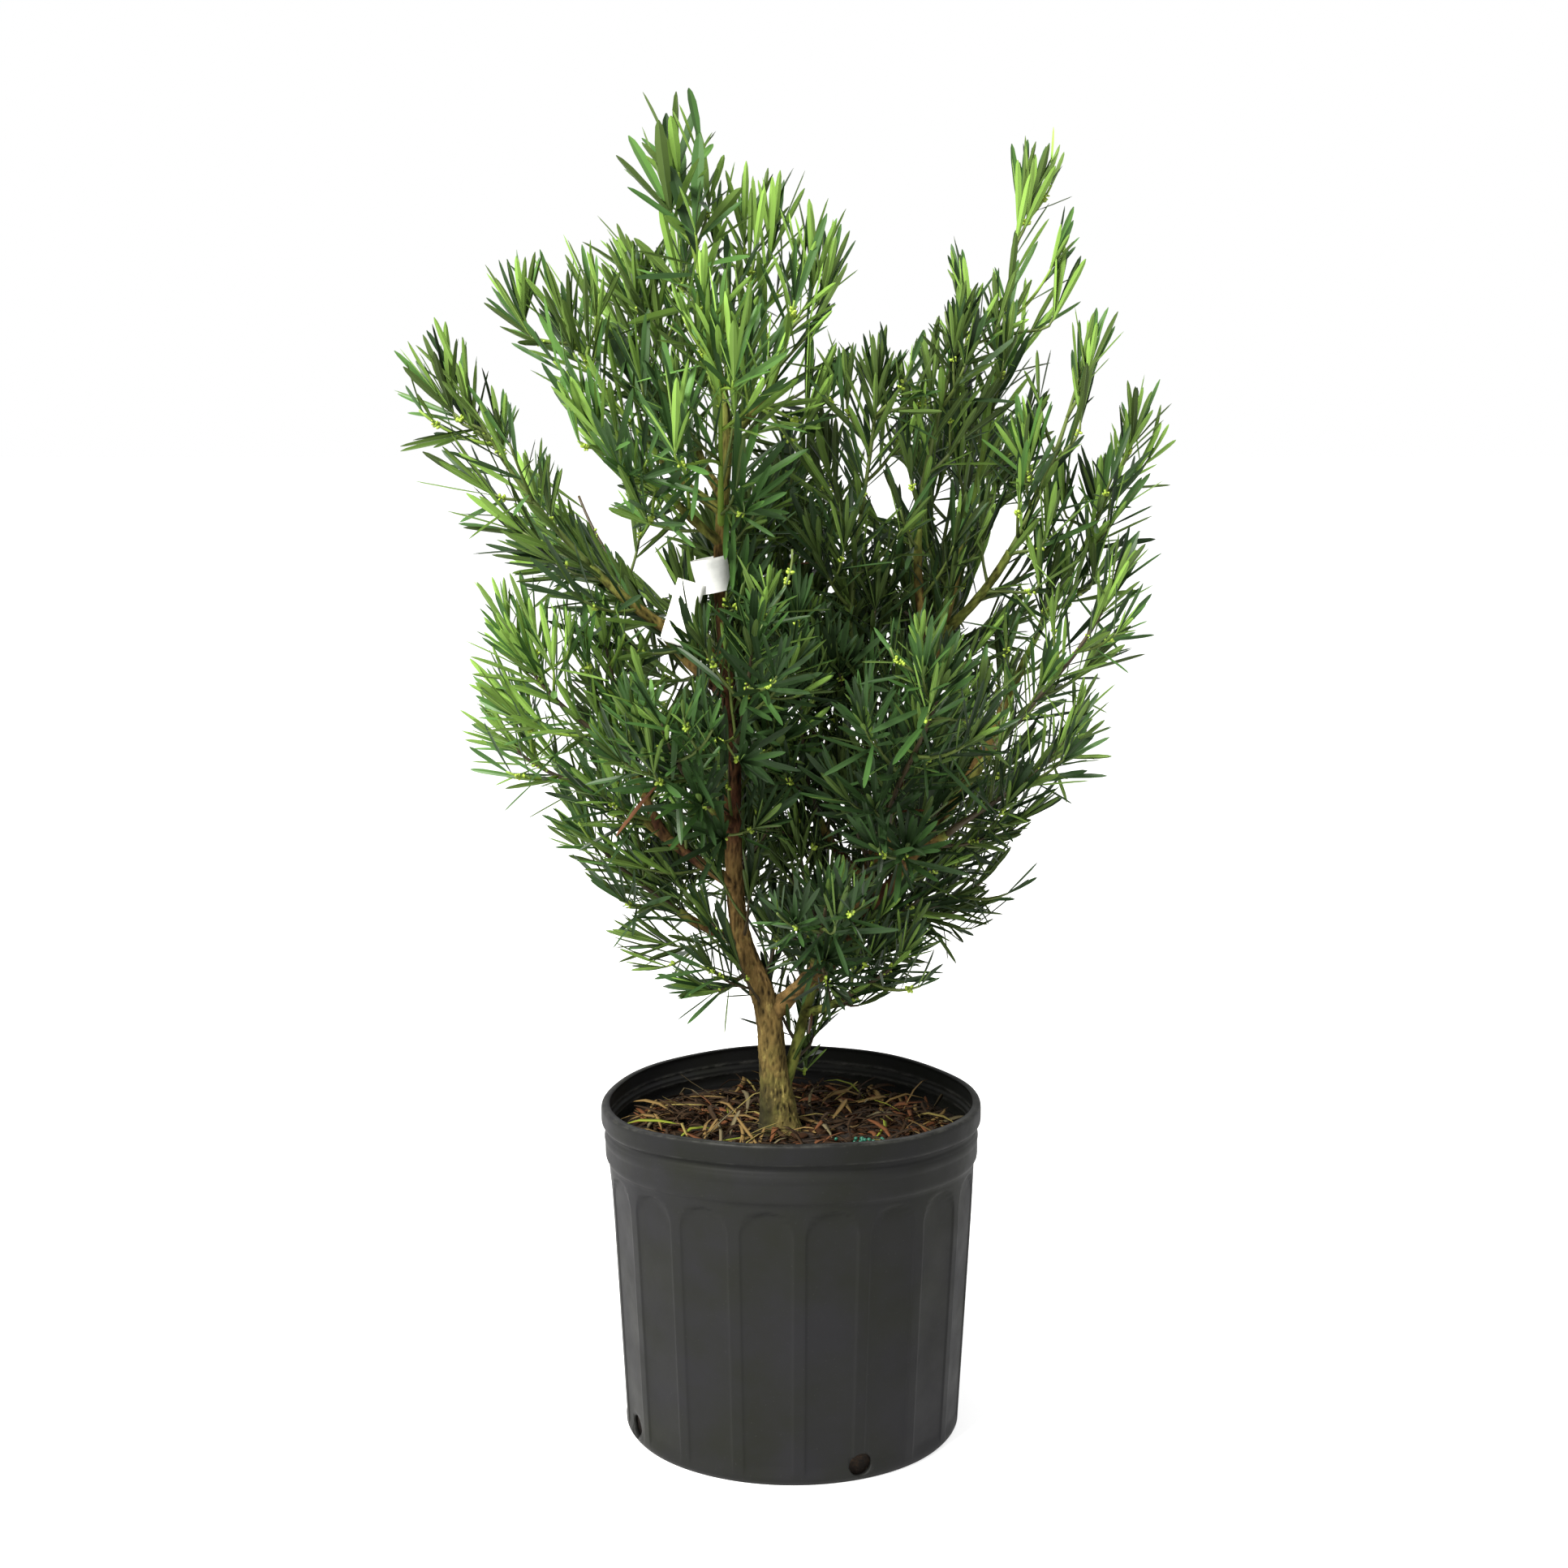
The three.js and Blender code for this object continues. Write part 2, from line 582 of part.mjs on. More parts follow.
// Leaves stand in a spiral along a shoot, laid close to it towards its tip, and end in a tuft.
function leavesAlong(curve, random, fits) {
  const found = [];
  const length = curve.getLength();
  const count = Math.max(0, Math.floor((length - BARE_FOOT) / LEAF_SPACING));
  let turn = 2 * Math.PI * random();
  const tryLeaf = (share, lean) => {
    const root = curve.getPointAt(share);
    const axis = curve.getTangentAt(share);
    const direction = leaning(axis, degToRad(lean), turn);
    turn += GOLDEN_ANGLE;
    const full = lerp(LEAF_VARIES.least, LEAF_VARIES.most, random());
    const leaf = LEAF_SIZES.map((size) => leafCorners(root, direction, axis, size * full)).find(fits);
    if (leaf) found.push(leaf);
  };
  for (let i = 0; i < count; i++) {
    const share = (BARE_FOOT + (i + 0.5 * random()) * LEAF_SPACING) / length;
    const jitter = LEAF_ANGLE.jitter * (random() - 0.5);
    tryLeaf(share, lerp(LEAF_ANGLE.foot, LEAF_ANGLE.tip, share) + jitter);
  }
  for (let i = 0; i < TUFT.leaves; i++) tryLeaf(TUFT.at, lerp(TUFT.least, TUFT.most, random()));
  return found;
}

// Side shoots leave the stem in turn round it and bend up; the middle ones are the longest.
function sideShoots(mass, random, clear) {
  const found = [];
  const count = Math.round(mass.stem.getLength() / SHOOT_SPACING);
  let turn = 2 * Math.PI * random();
  for (let i = 0; i < count; i++) {
    const share = (i + 0.55) / (count + 0.4);
    const from = mass.stem.getPointAt(share);
    const axis = mass.stem.getTangentAt(share);
    const angle = lerp(SHOOT_ANGLE.least, SHOOT_ANGLE.most, random());
    const leaving = leaning(axis, degToRad(angle), turn);
    turn += GOLDEN_ANGLE;
    const bulge = SHOOT_REACH.ends + SHOOT_REACH.bulge * share * (1 - share);
    const reach = mass.spread * bulge * lerp(SHOOT_VARIES.least, SHOOT_VARIES.most, random());
    const arriving = leaving.clone().addScaledVector(UP, SHOOT_BEND.up);
    arriving.addScaledVector(axis, SHOOT_BEND.onward).normalize();
    const heading = leaving.clone().add(arriving).normalize();
    const ends = SHOOT_SIZES.map((size) => from.clone().addScaledVector(heading, size * reach));
    const shoot = ends.map((end) => sweep(from, leaving, end, arriving)).find(clear);
    if (shoot) found.push(shoot);
  }
  return found;
}

function twigSolid(curve, { foot, tip }, steps) {
  return solidOf(tube(curve, (share) => lerp(foot, tip, share), 3, steps));
}

function massSolid(mass, masses, limbs) {
  const random = seeded(mass.seed);
  const inside = (points) => points.every((point) => inSpace(point, mass, masses));
  const passes = (points, half) =>
    points.every((point, i) => i === 0 || clearsLimbs(points[i - 1], point, half, limbs));
  const fits = ({ root, tip, left, right, keel }) =>
    inside([tip, left, right]) && passes([root, keel, tip], LEAF_ROOM);
  const clear = (curve) => {
    const points = curve.getSpacedPoints(4).slice(1);
    return inside(points) && passes(points, SHOOT_ROOM);
  };
  const shoots = sideShoots(mass, random, clear);
  const solids = [twigSolid(mass.stem, STEM_RADII, stepsAlong(mass.stem, STEM_STEP))];
  for (const shoot of shoots) solids.push(twigSolid(shoot, SHOOT_RADII, 1));
  for (const curve of [mass.stem, ...shoots]) {
    for (const leaf of leavesAlong(curve, random, fits)) solids.push(leafSolid(leaf));
  }
  return joined(solids);
}

// ---------------------------------------------------------------- assembly

const plant = new THREE.Group();
plant.name = 'potted_podocarpus';

function addPart(name, solid, finish) {
  const mesh = new THREE.Mesh(geometryOf(solid), finish);
  mesh.name = name;
  plant.add(mesh);
}

addPart('pot', potSolid(), MATERIALS.pot);
addPart('soil', soilSolid(), MATERIALS.soil);
addPart('plant_tag', joined([tagRing(), tagTail()].map(solidOf)), MATERIALS.tag);

const limbs = { trunk: trunkLimb() };
const ground = new THREE.BoxGeometry(80, 80, 40).translate(0, 0, SOIL_TOP + GAP - 20);
addPart('trunk', limbSolid(limbs.trunk).subtract(solidOf(ground)), MATERIALS.bark);

// Each bough is cut clear of the limb that it leaves.
for (const row of BRANCHES.filter(({ bough }) => bough)) {
  limbs[row.name] = boughLimb(row, limbs[row.parent]);
  const solid = limbSolid(limbs[row.name]).subtract(limbSolid(limbs[row.parent], GAP));
  addPart(`bough_${row.name}`, solid, MATERIALS.bark);
}

// A stem starts a gap beyond the end of its limb, or on the side of the limb, which cuts its foot.
function massOf(row, index) {
  const carrier = row.bough ? limbs[row.name] : limbs[row.parent];
  const onEnd = row.bough || row.height === null;
  const tip = pointOf(row.tip);
  const foot = onEnd ? carrier.curve.getPointAt(1) : pointAtHeight(carrier.curve, row.height);
  const leaving = onEnd ? carrier.curve.getTangentAt(1) : leavingDirection(foot, tip);
  const from = onEnd ? foot.addScaledVector(leaving, GAP) : foot;
  const stem = stemCurve(row, from, leaving);
  const spine = [...stem.getSpacedPoints(SPINE_PARTS), tip];
  return { ...row, seed: 101 + 17 * index, stem, spine, cutter: onEnd ? null : carrier };
}

// The tag as a chain of points with radii, like a limb: down through its loop, then its tail.
const tagAxis = [TAG_RING.centre, TAG_RING.centre, TAG_TAIL_TOP, TAG_TAIL_FOOT].map(pointOf);
tagAxis[0].z -= TAG_RING.height / 2;
const [loopRoom, tailRoom] = [TAG_RING.radius + TAG_ROOM, TAG_TAIL.width / 2];
const tagLimb = { chain: tagAxis, radii: [loopRoom, loopRoom, tailRoom, tailRoom] };

const obstacles = [...Object.values(limbs), tagLimb];
const masses = BRANCHES.map(massOf);
for (const mass of masses) {
  const grown = massSolid(mass, masses, obstacles);
  const solid = mass.cutter ? grown.subtract(limbSolid(mass.cutter, GAP)) : grown;
  addPart(`foliage_${mass.name}`, solid, MATERIALS.foliage);
}

export default plant;
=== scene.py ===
"""A podocarpus in a round nursery pot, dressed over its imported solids.

Metres, +Z up, +Y away from the front. Trunk, boughs and stems follow the sizes and the rule that
the solids follow. Here each mass of foliage is carried on to finer twigs and to leaves of natural
size, and pot, potting mix, bark and tag get their surfaces.
"""

import json
import math

import bpy
import numpy as np
from mathutils import Matrix, Vector, noise

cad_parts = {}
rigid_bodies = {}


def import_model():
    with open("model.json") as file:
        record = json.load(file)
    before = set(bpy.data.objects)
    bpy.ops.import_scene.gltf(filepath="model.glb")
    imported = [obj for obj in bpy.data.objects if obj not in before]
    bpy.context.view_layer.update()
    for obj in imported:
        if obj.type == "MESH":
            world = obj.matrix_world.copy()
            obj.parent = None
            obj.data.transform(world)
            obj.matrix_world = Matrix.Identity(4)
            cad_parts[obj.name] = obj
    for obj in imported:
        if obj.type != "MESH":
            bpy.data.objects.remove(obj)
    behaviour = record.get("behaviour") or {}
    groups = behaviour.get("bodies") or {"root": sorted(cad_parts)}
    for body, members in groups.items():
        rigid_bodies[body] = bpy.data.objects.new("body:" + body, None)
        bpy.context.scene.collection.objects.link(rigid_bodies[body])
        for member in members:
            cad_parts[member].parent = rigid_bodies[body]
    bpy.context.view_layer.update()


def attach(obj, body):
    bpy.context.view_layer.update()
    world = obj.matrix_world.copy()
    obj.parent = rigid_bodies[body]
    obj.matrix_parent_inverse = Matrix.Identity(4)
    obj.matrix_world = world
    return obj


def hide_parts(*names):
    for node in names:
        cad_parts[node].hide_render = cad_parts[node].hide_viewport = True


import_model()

# ------------------------------------------------------------------ sizes

# A pair of numbers under a name with VARIES is the least value, then the most that chance adds
MM = 0.001

# Camera
CAMERA_PLACE = (-6 * MM, -1750 * MM, 744 * MM)
CAMERA_PITCH = math.radians(-8.8)
CAMERA_LENS = 57.2
CAMERA_SENSOR = 36

# The one lamp, in metres and watts, and how brightly the world and the floor shine
KEY_LIGHT = {"place": (-1.5, -1.6, 2.7), "target": (0, 0, 0.6), "size": 1.5, "power": 370}
KEY_COLOUR = (1, 0.98, 0.94)
WORLD_STRENGTH = 1.0
FLOOR_SHINE = 0.68
FLOOR_REACH = 30

# Pot
POT_HEIGHT = 244 * MM
POT_RIM_RADIUS = 137.5 * MM
POT_WALL_TOP = {"radius": 132.4 * MM, "height": 200 * MM}
POT_WALL_FOOT = {"radius": 122 * MM, "height": 4 * MM}
POT_FOOT_CHAMFER = 2.5 * MM
POT_FLOOR = 3 * MM
POT_WALL = {"rim": 3.4 * MM, "lower": 4 * MM}
POT_SHOULDER = {"low": 200 * MM, "high": 206 * MM, "radius": 133.9 * MM}
# Each band of the rim bulges round its middle by up to its radius, over half its height each way,
# and falls back towards its edges by drop, the later the larger its power
POT_BANDS = [
    {"middle": 214.6 * MM, "half": 11 * MM, "radius": 134.9 * MM, "drop": 1.0 * MM, "power": 8},
    {"middle": 219.6 * MM, "half": 3 * MM, "radius": 135.4 * MM, "drop": 0.5 * MM, "power": 2},
    {"middle": 236.6 * MM, "half": 7.6 * MM, "radius": POT_RIM_RADIUS, "drop": 1.8 * MM, "power": 6},
]
# The inner side leaves the wall at a height and follows the bands by a share of their relief
INNER_SIDE = {"from": 204 * MM, "over": 6 * MM, "follows": 0.6}
INNER_RINGS = {"heights": (225 * MM, 232 * MM), "rise": 0.5 * MM, "width": 0.9 * MM, "rubbed": 1.2 * MM}
# Heights of the rings of points up the outside, and down the inside
WALL_RINGS = [(0, 1, 2.5, 4), np.arange(7, 160, 4), np.arange(160, 200, 1.2)]
OUTSIDE_HEIGHTS = np.concatenate([*WALL_RINGS, np.linspace(200, 243.6, 60)]) * MM
INSIDE_HEIGHTS = np.concatenate([np.linspace(243.8, 207, 62), np.linspace(202, 3, 8)]) * MM
# The lip thins towards its edge, and above a height its outside is painted darker than the wall, a painted
# shade
LIP = {"from": 241 * MM, "over": 3 * MM, "thins": 0.4 * MM}
PAINTED_LIP_SHADE = {"from": 227 * MM, "over": 4 * MM}
# Heights of the lip's edges, with how far a painted highlight lightens them
PAINTED_LIP_HIGHLIGHTS = ((243.2 * MM, 0.8), (230.0 * MM, 0.5))
PAINTED_HIGHLIGHT_WIDTH = 0.6 * MM
# The wall gives way above this height, the more the higher
RIM_GIVES_FROM = 150 * MM
PANEL_COUNT = 18
PANEL_ARC = math.radians(16.6)
PANEL_FIRST = math.radians(-8)
# Height below which no panel is pressed in
PANEL_FOOT = 7.2 * MM
PANEL_TOP = 198 * MM
PANEL_EDGE = {"depth": 0.6 * MM, "width": 1.2 * MM}
# Columns of points over a panel and the wall beside it, as shares of half a panel's step
PANEL_COLUMNS = (0, 0.2, 0.4, 0.6, 0.72, 0.78, 0.81, 0.84, 0.88, 0.94)
DRAIN_COUNT = 4
DRAIN_FIRST = math.radians(22.8)
DRAIN_RADIUS = 8.5 * MM
DRAIN_HEIGHT = 12 * MM
# How far the cutters of the holes reach to each side of the wall
DRAIN_REACH = 10 * MM
DRAIN_COLUMNS = 28

# Potting mix and what lies on it
SOIL_TOP = 218 * MM
SOIL_EDGE_DROP = 3 * MM
SOIL_RADIUS = 125 * MM
# It is level up to this share of its radius, and falls by its edge's drop from there
SOIL_LEVEL_TO = 0.35
SOIL_CRUMBS = {"height": 2.2 * MM * 0.6, "scale": 55}
SOIL_GRID = {"columns": 260, "rings": 84, "off_wall": 1.4 * MM, "middle": 1.5 * MM}
SOIL_SIDE_HEIGHTS = (100 * MM, 190 * MM, 204 * MM)
GAP = 0.3 * MM
LITTER_REACH = 117 * MM
CHIPS_REACH = 120 * MM
GRAINS_REACH = 122 * MM
LEAVES_STOP = 126 * MM
# How far dry leaves roll over, start behind their place, and curl and sway by their length, and how
# high they start over the potting mix
DRY_LEAF = {"roll": 1.1, "back": 0.3, "off_soil": 0.8 * MM, "curl": 1.0, "sway": 1.3}
DRY_LEAF_RISE_VARIES = (1 * MM, 2.5 * MM)
# Chips: sizes in millimetres, how far chance pulls at their points, then how thick they are and how
# high they lie by their size, and how far they lean
CHIP_SIZES = {"least": 1.6, "over": 4.4}
CHIP_POINT_VARIES = (0.7, 0.6)
CHIP = {"thick": 0.35, "lies": 0.2, "lean": 0.7}
TRUNK_FOOT = {"x": -8.5 * MM, "y": 0, "radius": 19 * MM}

# Trunk: the points it runs through, in millimetres, with its radius at each
TRUNK = [
    ((-8, 0, 210), 20),
    ((-9, 0, 226), 14.2),
    ((-14, 0, 266), 10),
    ((-18, 0, 308), 9.2),
    ((-37, 4, 364), 6.6),
    ((-42, 5, 414), 6.3),
    ((-43, 3, 512), 5.8),
    ((-51, -3, 626), 4.5),
    ((-46, -3, 726), 3.6),
    ((-57, -1, 792), 2.8),
]
FLARE_LOBES = 3
FLARE_DEPTH = 0.14
FLARE_HEIGHT = 30 * MM

# Boughs, stems and shoots
BOUGH_TIP_RADIUS = 2.9 * MM
BOUGH_TAPER = 0.8
CURVE_PULL = 0.36
LAY = 0.35
LIMB_CLEARANCE = 1 * MM
LIMB_RUN = 18 * MM
HEIGHT_STEPS = 2001
TRUNK_SUNK = 2 * MM
STEM_RISE = 0.35
STEM_STOP = 0.86
# The orders of twigs: radii at foot and tip, columns of points, and how far they stay bare
STEM = {"radii": (2.4 * MM, 1.0 * MM), "columns": 7, "bare": 14 * MM}
SHOOT = {"radii": (1.5 * MM, 0.85 * MM), "columns": 5, "bare": 6 * MM}
FINE = {"radii": (1.1 * MM, 0.7 * MM), "columns": 4, "bare": 4 * MM}
TWIG_STEP = 7 * MM
TWIG_SWELL = {"by": 0.1, "waves": 9, "phase": 900}
SHOOT_SPACING = 24 * MM
BOUGH_SHOOT_SPACING = 18 * MM
FINE_SPACING = 34 * MM
SHOOT_PLACES = {"first": 0.55, "spare": 0.4}
SHOOT_ANGLE_BETWEEN = (46, 56)
SHOOT_REACH = {"ends": 0.5, "bulge": 0.9}
SHOOT_REACH_BETWEEN = (0.85, 1.15)
SHOOT_BEND = {"up": 0.65, "onward": 0.4}
SHOOT_SIZES = (1.2, 1, 0.8, 0.6, 0.42)
FINE_SIZES = (0.7, 0.5, 0.35)
FINE_PART = (0.2, 1)
SHOOT_ROOM = 1.5 * MM
SHOOT_PROBES = (0.25, 0.5, 0.75, 1)

# Leaves
LEAF_SPACING = 3.0 * MM
LEAF_SIZES = (1, 0.85, 0.7, 0.55)
LEAF_LENGTH_VARIES = (0.92, 0.33)
# Leaves are shorter towards both ends of a shoot
LEAF_LENGTHS = {"ends": 0.8, "bulge": 0.2, "within": (0.1, 0.9)}
# Height of a leaf's root, and how broad leaves are there as a share of the usual
LEAF_BREADTHS = ((400 * MM, 0.9), (660 * MM, 1.0))
LEAF_ANGLE = {"foot": 62, "tip": 33, "power": 1.2, "jitter": 24}
LEAF_STAGGER = 0.6
LAST_LEAF = 0.97
# Parts of a leaf that are tested against limbs, and more closely against openings
LEAF_PROBES = (0.4, 0.7, 1)
CLOSE_PROBES = np.linspace(0.1, 1, 10)
FIRST_BEFORE_SKY = 3
ACROSS_LEAN = 0.02
LEAF_RISE = 0.12
LEAF_ROOM = 1.6 * MM
LEAF_SLENDERNESS = {"share": 0.070, "least": 1.1 * MM}
LEAF_WIDTH_VARIES = (0.85, 0.3)
# How leaves bow down and sway aside, as shares of their length
LEAF_BOW_VARIES = (-0.03, 0.09)
LEAF_SWAY = 0.06
DEAD = {"share": 0.006, "below": 0.3, "tone": -9}
LEAFY_BOUGHS = (
    "right_lowest",
    "right_foot",
    "right_high",
    "top_right",
    "left_upper",
    "left_middle",
    "left_lowest",
    "left_low",
)
LEAFY_SPACING = 6.5 * MM
LEAFY_SHARE = 0.3
# How far the leaves of a shoot vary in tone, up to so many times as much in open growth
TONE_JITTER = {"usual": 0.46, "most": 1.6}
# How much fresher twigs are than their mass: its stem, its shoots from the stem's foot to its tip,
# shoots on its bough, and what chance adds to a twig and to a spray
SHADES = {"stem": 0.1, "along": 0.3, "on_bough": -0.18, "chance": 0.22, "spray": 0.2}
BROAD_LEAVES = {
    "crown_top": 1.6,
    "top_middle": 0.95,
    "top_right": 0.95,
    "left_upper": 0.9,
    "top_left": 0.9,
}
# Masses that grow openly: how many times further apart their leaves and twigs stand
OPEN_GROWTH = {
    "crown_top": 2.2,
    "top_middle": 1.8,
    "top_right": 2.2,
    "top_left": 1.9,
    "top_front": 1.3,
    "left_upper": 2.3,
    "left_inner": 1.3,
    "left_middle": 1.2,
    "left_low": 1.6,
    "right_tall": 1.7,
    "right_inner": 1.4,
    "right_high": 2.6,
    "right_outer": 1.7,
    "right_middle": 1.4,
    "centre": 0.75,
    "back_middle": 0.8,
    "back_low": 0.8,
    "back_low_right": 0.8,
    "back_right": 0.85,
}
TUFT = {"leaves": 11, "least": 5, "lean": (38, 5), "jitter": 8, "from": 0.92}
# Masses whose leaves stand closer to their shoots than the usual, as a share of its lean
UPRIGHT = {"right_tall": 0.65, "right_high": 0.85, "crown_top": 1.35}
GOLDEN_ANGLE = math.radians(137.5)

# The space of a mass: its reach by its spread, at the stem's end, at the tip, and along its bough
REACH_AT_TIP = {"stem": 0.7, "tip": 0.4}
REACH_ON_BOUGH = {"foot": 0.9, "from": 0.15}
REACH_OF_SHOOTS = 0.96
REACH_OF_LEAVES = 1.12
REACH_OF_SPRAYS = 1.5
SPACE_OVERLAP = 24 * MM
LOWEST_LEAF = 251 * MM
SPINE_PARTS = 10
BOUGH_PARTS = 6

# The trunk carries leafy shoots between two heights
LEADER = {"low": 300 * MM, "high": 650 * MM, "spread": 62 * MM, "leaf": 48 * MM, "tone": (0.2, 0.6)}
LEADER_POINTS = 16
LEADER_SEED = 77

# Where the sky shows through the crown from the front: strips in the plane y = 0 between two
# points (x, z), each with half its width, in millimetres
OPENINGS = [
    ((-240, 824), (-134, 682), 15),
    ((-153, 681), (-92, 616), 11),
    ((-133, 884), (-98, 856), 12),
    ((185, 790), (188, 728), 9),
    ((151, 664), (127, 594), 10),
    ((174, 846), (166, 803), 6),
    ((-130, 969), (-40, 969), 13),
    ((130, 942), (215, 942), 13),
    ((232, 784), (210, 712), 9),
    ((146, 872), (128, 832), 11),
    ((41, 815), (37, 792), 11),
    ((105, 820), (74, 783), 8),
    ((54, 700), (64, 668), 8),
    ((82, 320), (28, 290), 8),
    ((181, 445), (150, 402), 11),
    ((158, 352), (92, 306), 14),
    ((180, 392), (128, 346), 12),
    ((104, 684), (106, 652), 7),
    ((76, 695), (81, 671), 6),
    ((-75, 557), (-91, 531), 8),
    ((201, 597), (199, 572), 6),
    ((-168, 414), (-136, 380), 13),
]
# Leaves and shoots keep out of this share of an opening's half width
OPENING_SHARE = 0.8

# Where no leaf stands before the trunk: strips in the same plane
CLEARINGS = [
    ((-15, 300), (-36, 362), 7),
    ((-36, 362), (-42, 418), 7),
    ((-42, 428), (-45, 552), 3),
    ((-51, 648), (-47, 736), 3),
]

# Plant tag
TAG_CENTRE = (-56.5 * MM, -6.4 * MM, 622 * MM)
TAG_RADIUS = 12.5 * MM
TAG_ROOM = 1 * MM
TAG_WIDTH = 24 * MM
TAG_FILM = 0.4 * MM
TAG_FLARE = {"inward": 0.5 * MM, "widens": 1.0 * MM, "wave": 0.2 * MM}
TAG_COLUMNS = 56
TAG_ROWS = 9
TAG_TILT = math.radians(11)
TAIL_TOP = (-70 * MM, -17.5 * MM, 618 * MM)
TAIL_FOOT = (-83 * MM, -21 * MM, 575 * MM)
TAIL_WIDTH = 20 * MM
TAIL_CORNER = 3 * MM
TAIL_CURL = 2.5 * MM
TAIL_CUP = 0.9 * MM
# Leaves keep clear of this line of sight from the tag
TAG_SIGHT = (0, -200 * MM, 12 * MM)


def branch(name, parent, height, bough, foot, tip, spread, leaf, tone):
    """One mass of foliage and the bough that carries it, in millimetres, as in the solids.

    leaf is how long its leaves are, and tone how light they look, from 0, dark, to 1, new growth: partly how
    fresh they are, and partly painted shade that keeps the crown's inner and low masses darker.
    """
    return {
        "name": name,
        "parent": parent,
        "height": None if height is None else height * MM,
        "bough": None if bough is None else np.array(bough) * MM,
        "foot": None if foot is None else foot * MM,
        "tip": np.array(tip) * MM,
        "spread": spread * MM,
        "leaf": leaf * MM,
        "tone": tone,
    }


BRANCHES = [
    # the crown's top
    branch("crown_top", "trunk", None, None, None, (-86, -2, 957), 51, 64, 0.6),
    branch("top_middle", "trunk", 746, None, None, (-18, 36, 902), 48, 58, 0.58),
    branch("top_right", "trunk", 716, (-18, 0, 748), 3.4, (14, 4, 874), 50, 62, 0.64),
    branch("top_back", "trunk", 676, (-68, 30, 710), 3.4, (-118, 84, 876), 67, 52, 0.5),
    branch("top_front", "trunk", 654, None, None, (-48, -96, 826), 62, 56, 0.6),
    branch("top_left", "trunk", 666, (-92, 8, 702), 3.6, (-177, -8, 842), 64, 55, 0.6),
    # the left side
    branch("left_upper", "trunk", 560, (-140, -28, 630), 5.2, (-243, -32, 793), 59, 54, 0.47),
    branch("left_inner", "trunk", 645, (-80, -20, 672), 3.4, (-160, -74, 760), 60, 54, 0.7),
    branch("left_low", "trunk", 400, (-116, -8, 456), 4.6, (-226, 0, 532), 50, 48, 0.62),
    branch("left_middle", "left_low", 436, (-112, -28, 486), 3.4, (-204, -36, 600), 60, 52, 0.66),
    branch("left_lowest", "trunk", 356, (-82, 14, 378), 4, (-166, 16, 468), 50, 46, 0.45),
    branch("left_foot", "trunk", 336, None, None, (-88, -26, 338), 48, 42, 0.35),
    # the right side
    branch("right_middle", "trunk", 304, (140, -6, 496), 6.4, (233, -28, 637), 52, 44, 0.42),
    branch("right_outer", "right_middle", 466, (168, 26, 562), 4, (249, 18, 752), 52, 47, 0.44),
    branch("right_low", "right_middle", 428, (108, -38, 444), 3.6, (208, -50, 540), 53, 42, 0.36),
    branch("right_tall", "right_middle", 356, (124, 24, 654), 5.6, (163, 18, 922), 54, 50, 0.5),
    branch("right_high", "right_tall", 577, (152, -4, 638), 3.6, (207, -28, 804), 51, 47, 0.47),
    branch("right_inner", "right_tall", 544, (88, -2, 654), 3.8, (121, -14, 842), 54, 45, 0.4),
    branch("middle", "right_tall", 454, (42, -8, 564), 3.8, (60, -26, 790), 67, 46, 0.36),
    branch("centre", "right_tall", 402, (18, 0, 450), 3.4, (4, -30, 616), 64, 42, 0.2),
    branch("right_lowest", "trunk", 242, (33, 24, 350), 5, (164, 28, 422), 53, 42, 0.2),
    branch("right_foot", "right_lowest", 302, (36, -12, 320), 3.2, (92, -52, 384), 46, 38, 0.24),
    # the front
    branch("front_left", "trunk", 444, (-58, -40, 464), 3.6, (-94, -150, 564), 67, 46, 0.5),
    branch("front_middle", "trunk", 488, None, None, (-24, -150, 614), 67, 46, 0.4),
    branch("front_right", "right_middle", 414, (66, -48, 450), 3.8, (102, -158, 594), 69, 44, 0.36),
    branch("front_low", "right_middle", 336, (16, -36, 356), 3.4, (24, -130, 436), 57, 40, 0.3),
    # the back
    branch("back_left", "trunk", 534, (-94, 64, 574), 3.8, (-176, 148, 710), 78, 52, 0.5),
    branch("back_middle", "trunk", 512, (-24, 58, 556), 3.8, (-6, 152, 708), 78, 52, 0.4),
    branch("back_right", "right_tall", 494, (98, 76, 570), 4, (132, 162, 748), 78, 48, 0.4),
    branch("back_low", "trunk", 380, None, None, (-60, 146, 494), 69, 46, 0.36),
    branch("back_low_right", "right_lowest", 322, (66, 62, 376), 3.8, (140, 154, 514), 69, 42, 0.3),
]

# Single leafy side branches inside the reach of the masses, each a stem with its shoots
BRANCHLETS = [
    branch("left_gap", "left_middle", 462, None, None, (-137, -24, 616), 40, 44, 0.55),
    branch("fork_right", "right_middle", 346, None, None, (0, -24, 462), 36, 40, 0.15),
    branch("fork_high", "right_middle", 388, None, None, (40, -16, 512), 40, 40, 0.15),
    branch("fork_low", "right_middle", 330, None, None, (62, -24, 394), 34, 38, 0.2),
    branch("trunk_left", "trunk", 352, None, None, (-74, -14, 404), 34, 40, 0.35),
]


